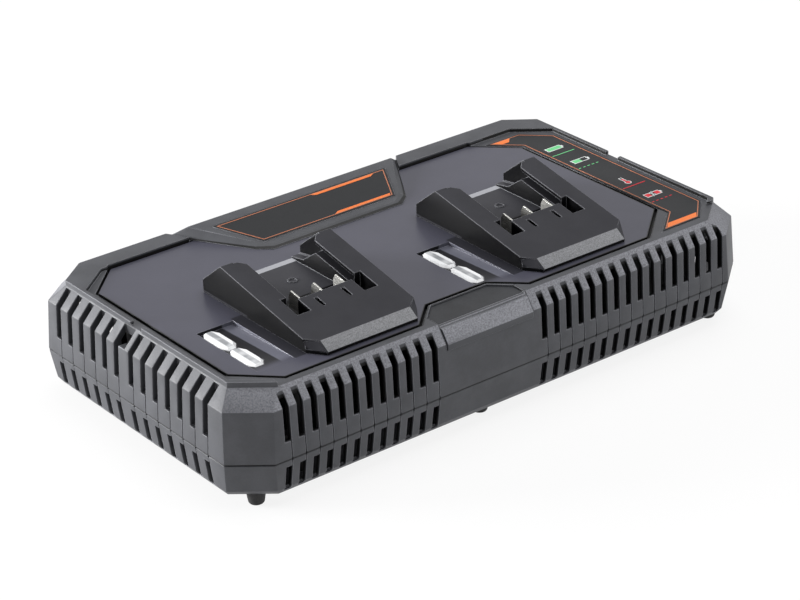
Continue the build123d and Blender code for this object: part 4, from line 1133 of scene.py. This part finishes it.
@dataclass(frozen=True)
class Ground:
    """The flat or tilted face that ink lies on.

    Attributes:
        level: Height at the face's rear, in millimetres.
        rear: Where that is along Y.
        slope: Fall for each millimetre to the front.
    """

    level: float
    rear: float = 0.0
    slope: float = 0.0

    def at(self, place: Flat, lift: float) -> Point:
        """Returns the point at a lift over a place on the face."""
        return (place[0], place[1], self.level - self.slope * (self.rear - place[1]) + lift)


@dataclass
class Ink:
    """A layer of ink with sharp outlines on one face.

    Attributes:
        ground: The face that it lies on.
        thickness: Thickness of the layer in millimetres.
        sunk: How far it reaches into the face.
        corners: Corners so far.
        faces: Faces so far.
    """

    ground: Ground
    thickness: float = 0.09
    sunk: float = 0.02
    corners: list[Point] = field(default_factory=list)
    faces: list[list[int]] = field(default_factory=list)

    def layers(self, *outlines: Sequence[Flat]) -> list[int]:
        """Adds the corners of outlines, at the foot and then on top.

        Args:
            outlines: Outlines with the same number of corners.

        Returns:
            The number of the first corner of each outline, at the foot and then on top.
        """
        starts = []
        for lift in (-self.sunk, self.thickness):
            for outline in outlines:
                starts.append(len(self.corners))
                self.corners += [self.ground.at(place, lift) for place in outline]
        return starts

    def patch(self, outline: Sequence[Flat]) -> None:
        """Adds a filled patch.

        Args:
            outline: Its corners in plan.
        """
        count = len(outline)
        low, top = self.layers(outline)
        self.faces += [list(range(low, low + count)), list(range(top, top + count))]
        self.faces += [[low + i, low + j, top + j, top + i] for i, j in around(count)]

    def frame(self, outline: Sequence[Flat], width: float) -> None:
        """Adds a closed line of even width inside an outline.

        Args:
            outline: The line's outer corners.
            width: Its width.
        """
        low_out, low_in, top_out, top_in = self.layers(outline, shrink(outline, width))
        for i, j in around(len(outline)):
            self.faces.append([top_out + i, top_out + j, top_in + j, top_in + i])
            self.faces.append([low_out + j, low_out + i, low_in + i, low_in + j])
            self.faces.append([low_out + i, low_out + j, top_out + j, top_out + i])
            self.faces.append([low_in + j, low_in + i, top_in + i, top_in + j])

    def stroke(self, start: Flat, end: Flat, width: float) -> None:
        """Adds a straight line.

        Args:
            start: Where it starts.
            end: Where it ends.
            width: Its width.
        """
        first, last = Vector(start), Vector(end)
        along = (last - first).normalized()
        across = Vector((-along.y, along.x)) * (width / 2)
        self.patch([(p.x, p.y) for p in (first + across, last + across, last - across, first - across)])

    def bar(self, rows: Flat, lower: Flat, upper: Flat) -> None:
        """Adds a bar with slanted ends.

        Args:
            rows: Its front and rear edge along Y.
            lower: Start and end of the front edge along X.
            upper: Start and end of the rear edge along X.
        """
        self.patch([(lower[0], rows[0]), (lower[1], rows[0]), (upper[1], rows[1]), (upper[0], rows[1])])

    def done(self, name: str, material: bpy.types.Material) -> None:
        """Makes the piece."""
        finish_piece(build(name, self.corners, self.faces), material)


# ------------------------------------------------------------------ sub-assemblies
@dataclass(frozen=True)
class Nameplate:
    """The bare plate on the rear bezel, with its orange border.

    Attributes:
        ground: The plate's face.
        centre: Middle along X.
        rear: Rear edge along Y.
        front: Front edge along Y.
        rear_half: Half the rear edge.
        front_half: Half the front edge.
        margin: Distance of the border from the edge.
        line: Width of the thin border.
        bar: Width of the thick bars, with the border.
        rear_bar: Start and end of the rear bar, from the middle along X.
        front_bar: Start of the front bar, from the middle along X.
        slant: How much shorter a bar's inner edge is at a slanted end.
        short: How far the front bar's inner edge ends before the plate's edge.
        shorter: How much sooner its outer edge ends.
    """

    ground: Ground = Ground(62.95, 70.4, 0.114)
    centre: float = -10.5
    rear: float = 63.6
    front: float = 39.4
    rear_half: float = 51.2
    front_half: float = 38.7
    margin: float = 1.0
    line: float = 0.45
    bar: float = 2.0
    rear_bar: Flat = (4.8, 42.9)
    front_bar: float = 3.9
    slant: float = 2.5
    short: float = 2.2
    shorter: float = 1.1

    def half(self, level: float) -> float:
        """Returns half the plate's width at a place along Y."""
        share = (level - self.front) / (self.rear - self.front)
        return self.front_half + (self.rear_half - self.front_half) * share

    def make(self, materials: Materials) -> None:
        """Makes the border and its bars.

        Args:
            materials: The materials by name.
        """
        border, bars = Ink(self.ground), Ink(self.ground)
        rows = ((-self.front_half, self.front), (self.front_half, self.front),
                (self.rear_half, self.rear), (-self.rear_half, self.rear))
        border.frame(shrink([(self.centre + x, y) for x, y in rows], self.margin), self.line)
        border.done("nameplate_border", materials["peach_ink"])
        top, low = self.rear - self.margin, self.front + self.margin
        start, end = (self.centre + x for x in self.rear_bar)
        bars.bar((top - self.bar, top - self.line), (start + self.slant, end - self.slant), (start, end))
        start, end = self.centre + self.front_bar, self.centre + self.half(low + self.bar) - self.short
        bars.bar((low + self.line, low + self.bar), (start, end - self.shorter), (start + self.slant, end))
        bars.done("nameplate_bars", materials["orange_ink"])


@dataclass(frozen=True)
class Battery:
    """The pictogram of a lying battery.

    Attributes:
        half: Half its length and half its height.
        line: Width of its outline.
        tip: Length and half the height of its tip.
        half_full: How far a half charge reaches past the middle.
        gap: Half the gap in a crossed battery's charge.
        slash: Half the slash's run along X, its reach over the outline and its width.
        back: Half the run along X and the width of the line that crosses it.
    """

    half: Flat = (4.8, 2.0)
    line: float = 0.42
    tip: Flat = (0.8, 0.8)
    half_full: float = 0.4
    gap: float = 1.5
    slash: Point = (1.2, 0.5, 0.5)
    back: Flat = (1.1, 0.45)

    def draw(self, edge: Ink, inside: Ink, centre: Flat, sign: Sign) -> None:
        """Draws it.

        Args:
            edge: Ink of its outline.
            inside: Ink of its charge.
            centre: Its middle.
            sign: How it is drawn.
        """
        x, y = centre
        long, high = self.half
        edge.frame(box((x - long, y - high), (x + long, y + high)), self.line)
        edge.patch(box((x + long, y - self.tip[1]), (x + long + self.tip[0], y + self.tip[1])))
        left, right, room = x - long + self.line, x + long - self.line, high - self.line
        spans = {
            Sign.FULL: [(left, right)],
            Sign.HALF: [(left, x + self.half_full)],
            Sign.CROSSED: [(left, x - self.gap), (x + self.gap, right)],
        }
        for start, end in spans[sign]:
            inside.patch(box((start, y - room), (end, y + room)))
        if sign is Sign.CROSSED:
            run, reach, width = self.slash
            edge.stroke((x - run, y - high - reach), (x + run, y + high + reach), width)
            run, width = self.back
            edge.stroke((x - run, y + room), (x + run, y - room), width)


@dataclass(frozen=True)
class Thermometer:
    """The pictogram of an upright thermometer.

    Attributes:
        bulb: Outer radius of the bulb and width of its line.
        tube: Half the tube's width, and its ends over the bulb's middle.
        tube_line: Width of the tube's line.
        ball: Radius of the bulb's filling.
        column: Half the column's width, and its ends over the bulb's middle.
    """

    bulb: Flat = (1.75, 0.4)
    tube: Point = (1.0, 1.3, 6.2)
    tube_line: float = 0.35
    ball: float = 1.35
    column: Point = (0.5, 1.2, 4.6)

    def draw(self, edge: Ink, inside: Ink, centre: Flat) -> None:
        """Draws it.

        Args:
            edge: Ink of its outline.
            inside: Ink of its column.
            centre: Middle of its bulb.
        """
        x, y = centre
        edge.frame(circle(centre, self.bulb[0]), self.bulb[1])
        half, foot, top = self.tube
        edge.frame(box((x - half, y + foot), (x + half, y + top)), self.tube_line)
        inside.patch(circle(centre, self.ball))
        half, foot, top = self.column
        inside.patch(box((x - half, y + foot), (x + half, y + top)))


@dataclass(frozen=True)
class Row:
    """One row of the legend: a pictogram and its light pattern.

    Attributes:
        sign: The pictogram.
        tint: Its colour, which is also the light's.
        shift: Its middle from the legend's middle, along X.
        level: Its middle along Y.
        light: Place of the light pattern along Y.
        flashes: Number of the pattern's dashes.
    """

    sign: Sign
    tint: str
    shift: float
    level: float
    light: float
    flashes: int


@dataclass(frozen=True)
class StatusLegend:
    """The legend strip: orange border, bars at both ends and four plain pictograms.

    Attributes:
        ground: The strip's face.
        left: Left edge along X.
        right: Right edge along X.
        rear: Rear edge along Y.
        front: Front edge along Y.
        right_cut: Cut of both right corners.
        front_toe: How far the front reaches past the left edge, and where that starts behind it.
        rear_toe: How far the rear reaches past the left edge, and where that starts before it.
        margin: Distance of the border from the edge.
        line: Width of the thin border.
        bar: Width of the thick bars.
        front_bar: Where the front bar starts and ends, from the border's corners.
        rear_bar: The same of the rear bar.
        front_slant: How far the front bar's ends slant for each millimetre.
        rear_slant: The same of the rear bar.
        middle: Middle of the pictograms along X.
        battery: The battery.
        thermometer: The thermometer.
        pattern: Where a light pattern starts and ends along X.
        pattern_line: Width of a light pattern's line.
        dash: Share of a dash in its step.
        rows: The rows, from the rear.
    """

    ground: Ground = Ground(57.4)
    left: float = 116.3
    right: float = 137.0
    rear: float = 60.4
    front: float = -72.4
    right_cut: float = 13.0
    front_toe: Flat = (16.0, 13.8)
    rear_toe: float = 13.5
    margin: float = 0.9
    line: float = 0.42
    bar: float = 3.4
    front_bar: Flat = (1.6, -0.4)
    rear_bar: Flat = (1.4, -6.5)
    front_slant: Flat = (1.05, 0.9)
    rear_slant: Flat = (1.0, -0.9)
    middle: float = 125.6
    battery: Battery = Battery()
    thermometer: Thermometer = Thermometer()
    pattern: Flat = (118.4, 132.6)
    pattern_line: float = 0.55
    dash: float = 0.5
    rows: tuple[Row, ...] = (
        Row(Sign.FULL, "green", 0.0, 34.4, 27.1, 1),
        Row(Sign.HALF, "green", 0.2, 14.9, 7.3, 5),
        Row(Sign.HOT, "red", 0.0, -20.6, -25.0, 1),
        Row(Sign.CROSSED, "red", -0.4, -38.5, -45.4, 5),
    )

    def outline(self) -> list[Flat]:
        """Gives the strip's corners, from the front left.

        Returns:
            The corners.
        """
        cut, (reach, depth) = self.right_cut, self.front_toe
        return [
            (self.left, self.front + depth), (self.left - reach, self.front),
            (self.right - cut, self.front), (self.right, self.front + cut),
            (self.right, self.rear - cut), (self.right - cut, self.rear),
            (self.left - self.rear_toe, self.rear), (self.left, self.rear - self.rear_toe),
        ]

    def edging(self, materials: Materials) -> None:
        """Makes the border and the bars.

        Args:
            materials: The materials by name.
        """
        border, bars = Ink(self.ground), Ink(self.ground)
        inner = shrink(self.outline(), self.margin)
        border.frame(inner, self.line)
        border.done("legend_border", materials["peach_ink"])
        low = self.front + self.margin + self.line
        start, end = inner[1][0] + self.front_bar[0], inner[2][0] + self.front_bar[1]
        first, last = (self.bar * slant for slant in self.front_slant)
        bars.bar((low, low + self.bar), (start, end), (start + first, end + last))
        top = self.rear - self.margin - self.line
        start, end = inner[6][0] + self.rear_bar[0], inner[5][0] + self.rear_bar[1]
        first, last = (self.bar * slant for slant in self.rear_slant)
        bars.bar((top - self.bar, top), (start + first, end + last), (start, end))
        bars.done("legend_bars", materials["orange_ink"])

    def light(self, ink: Ink, level: float, flashes: int) -> None:
        """Draws a steady or a flashing light as a line or dashes.

        Args:
            ink: The ink.
            level: Its place along Y.
            flashes: Number of dashes.
        """
        start, end = self.pattern
        step = (end - start) / flashes
        length = step if flashes == 1 else step * self.dash
        for i in range(flashes):
            ink.stroke((start + i * step, level), (start + i * step + length, level), self.pattern_line)

    def make(self, materials: Materials) -> None:
        """Makes the border, the bars and the rows.

        Args:
            materials: The materials by name.
        """
        self.edging(materials)
        outlines, inks = Ink(self.ground), {"green": Ink(self.ground), "red": Ink(self.ground)}
        for row in self.rows:
            ink, centre = inks[row.tint], (self.middle + row.shift, row.level)
            if row.sign is Sign.HOT:
                self.thermometer.draw(outlines, ink, centre)
            else:
                self.battery.draw(outlines, ink, centre, row.sign)
            self.light(ink, row.light, row.flashes)
        outlines.done("legend_outlines", materials["white_ink"])
        for tint, ink in inks.items():
            ink.done(f"legend_{tint}", materials[f"{tint}_ink"])


@dataclass(frozen=True)
class BayMarks:
    """The small embossed ring on the floor of each bay.

    Attributes:
        bays: Middle of each bay along X.
        place: The ring's middle from the bay's, and along Y.
        floor: Level of the floor.
        outer: Outer radius.
        inner: Inner radius.
        height: Height over the floor.
        sunk: How far it reaches into the floor.
        bevel: Width and height of its bevelled edges.
        steps: Corners round the ring.
    """

    bays: Flat = (-68.2, 54.4)
    place: Flat = (5.2, -2.1)
    floor: float = 58.65
    outer: float = 2.5
    inner: float = 1.7
    height: float = 0.35
    sunk: float = 0.1
    bevel: Flat = (0.15, 0.12)
    steps: int = 28

    def ring(self, name: str, bay: float) -> bpy.types.Object:
        """Makes one ring.

        Args:
            name: Its name.
            bay: Middle of its bay along X.

        Returns:
            The piece.
        """
        foot, top = self.floor - self.sunk, self.floor + self.height
        wide, drop = self.bevel
        profile = ((self.outer, foot), (self.outer, top - drop), (self.outer - wide, top),
                   (self.inner + wide, top), (self.inner, top - drop), (self.inner, foot))
        centre = (bay + self.place[0], self.place[1])
        rounds = [(circle(centre, radius, self.steps), level) for radius, level in profile]
        corners = [(*line[i], level) for i in range(self.steps) for line, level in rounds]
        count = len(profile)
        faces = [
            [i * count + k, j * count + k, j * count + m, i * count + m]
            for i, j in around(self.steps) for k, m in around(count)
        ]
        return build(name, corners, faces)

    def make(self, materials: Materials) -> None:
        """Makes both rings.

        Args:
            materials: The materials by name.
        """
        for name, bay in zip(("left_bay_ring", "right_bay_ring"), self.bays):
            finish_piece(self.ring(name, bay), materials["dock_plastic"])


# ------------------------------------------------------------------ studio
@dataclass(frozen=True)
class View:
    """The camera's place and lens.

    Attributes:
        place: Where it stands, in millimetres.
        around: Its turn about the upright axis, in degrees.
        down: How far it looks down, in degrees.
        roll: Its roll, in degrees.
        focal: Focal length in image widths.
        sensor: Width of the image on the sensor, in millimetres.
        reach: Nearest and furthest thing that it sees, in metres.
    """

    place: Point = (-674.95, -888.649, 588.17)
    around: float = -37.195
    down: float = 26.696
    roll: float = -1.805
    focal: float = 2643.51 / 800
    sensor: float = 36.0
    reach: Flat = (0.05, 50.0)

    def make(self) -> None:
        """Makes the camera."""
        turn, down, roll = (math.radians(angle) for angle in (self.around, self.down, self.roll))
        back = Vector((math.sin(turn) * math.cos(down), -math.cos(turn) * math.cos(down), math.sin(down)))
        right = (-back).cross(Vector((0, 0, 1))).normalized()
        up = right.cross(-back)
        aside = math.cos(roll) * right + math.sin(roll) * up
        above = -math.sin(roll) * right + math.cos(roll) * up
        data = bpy.data.cameras.new("camera")
        data.sensor_width = self.sensor
        data.lens = self.focal * self.sensor
        data.clip_start, data.clip_end = self.reach
        camera = put("camera", data)
        pose = Matrix((aside, above, back)).transposed().to_4x4()
        camera.matrix_world = Matrix.Translation(Vector(self.place) * MM) @ pose
        bpy.context.scene.camera = camera


@dataclass(frozen=True)
class Lamp:
    """One soft rectangular lamp.

    Attributes:
        name: Its name.
        place: Where it hangs, in metres.
        size: Its width and height in metres.
        power: Its power in watts.
        aim: Where it points, in metres.
    """

    name: str
    place: Point
    size: Flat
    power: float
    aim: Point = (0.0, 0.0, 0.04)

    def make(self) -> None:
        """Makes the lamp, aimed at the charger."""
        data = bpy.data.lights.new(self.name, "AREA")
        data.shape = "RECTANGLE"
        data.size, data.size_y = self.size
        data.energy = self.power
        lamp = put(self.name, data)
        lamp.location = self.place
        lamp.rotation_euler = (Vector(self.place) - Vector(self.aim)).to_track_quat("Z", "Y").to_euler()


@dataclass(frozen=True)
class Studio:
    """Pale floor, soft lamps, plain world and the camera.

    Attributes:
        lamps: The lamps.
        view: The camera.
        surround: Level of the world's light on the charger.
        white: How far the floor is lifted to white where it is seen.
        paper: Colour of the floor.
        reach: How far the floor reaches from its middle, in metres.
    """

    lamps: tuple[Lamp, ...] = (
        Lamp("overhead", (0.3, -0.1, 1.5), (1.6, 1.2), 17.0),
        Lamp("left_wall", (-1.3, 1.05, 0.4), (0.8, 0.6), 58.0),
        Lamp("front_right", (1.2, -1.2, 0.45), (1.0, 0.7), 8.5),
    )
    view: View = View()
    surround: float = 0.35
    white: float = 0.86
    paper: Colour = (0.9, 0.9, 0.9, 1.0)
    reach: float = 4.0

    def floor(self) -> None:
        """Makes the pale floor, which keeps a soft shadow."""
        mesh = bpy.data.meshes.new("floor")
        corners = [(x, y, 0.0) for x, y in box((-self.reach, -self.reach), (self.reach, self.reach))]
        mesh.from_pydata(corners, [], [range(len(corners))])
        material = bpy.data.materials.new("floor_paper")
        tree = Tree(material)
        paper = tree.node("ShaderNodeBsdfDiffuse", values={"Color": self.paper})
        glow = tree.node("ShaderNodeEmission")
        both = {0: tree.seen() * self.white, 1: paper.outputs[0], 2: glow.outputs[0]}
        mix = tree.node("ShaderNodeMixShader", values=both)
        tree.node("ShaderNodeOutputMaterial", values={"Surface": mix.outputs[0]})
        mesh.materials.append(material)
        put("floor", mesh)

    def world(self) -> None:
        """Makes the plain world, white where it is seen or mirrored."""
        world = bpy.data.worlds.new("studio")
        bpy.context.scene.world = world
        tree = Tree(world)
        level = tree.seen() * (1.0 - self.surround) + self.surround
        light = tree.node("ShaderNodeBackground", values={"Strength": level})
        tree.node("ShaderNodeOutputWorld", values={"Surface": light.outputs[0]})

    def make(self) -> None:
        """Makes the whole studio."""
        bpy.context.scene.view_settings.view_transform = "Standard"
        self.floor()
        self.world()
        self.view.make()
        for lamp in self.lamps:
            lamp.make()


SOFTENED = (
    Softened("lower_housing", 0.3),
    Softened("upper_housing", 0.35),
    Softened("left_dock", 0.4),
    Softened("right_dock", 0.4),
    Softened("rear_bezel", 0.5),
    Softened("front_badge", 0.25),
)


def main() -> None:
    """Builds the charger's looks around the frame, then the studio."""
    logging.basicConfig(level=logging.INFO, format="%(name)s: %(message)s")
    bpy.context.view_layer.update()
    materials = {finish.name: finish.make() for finish in FINISHES}
    dress_frame(materials)
    for piece in (*SOFTENED, Nameplate(), StatusLegend(), BayMarks()):
        piece.make(materials)
    Studio().make()


if __name__ == "__main__":
    main()
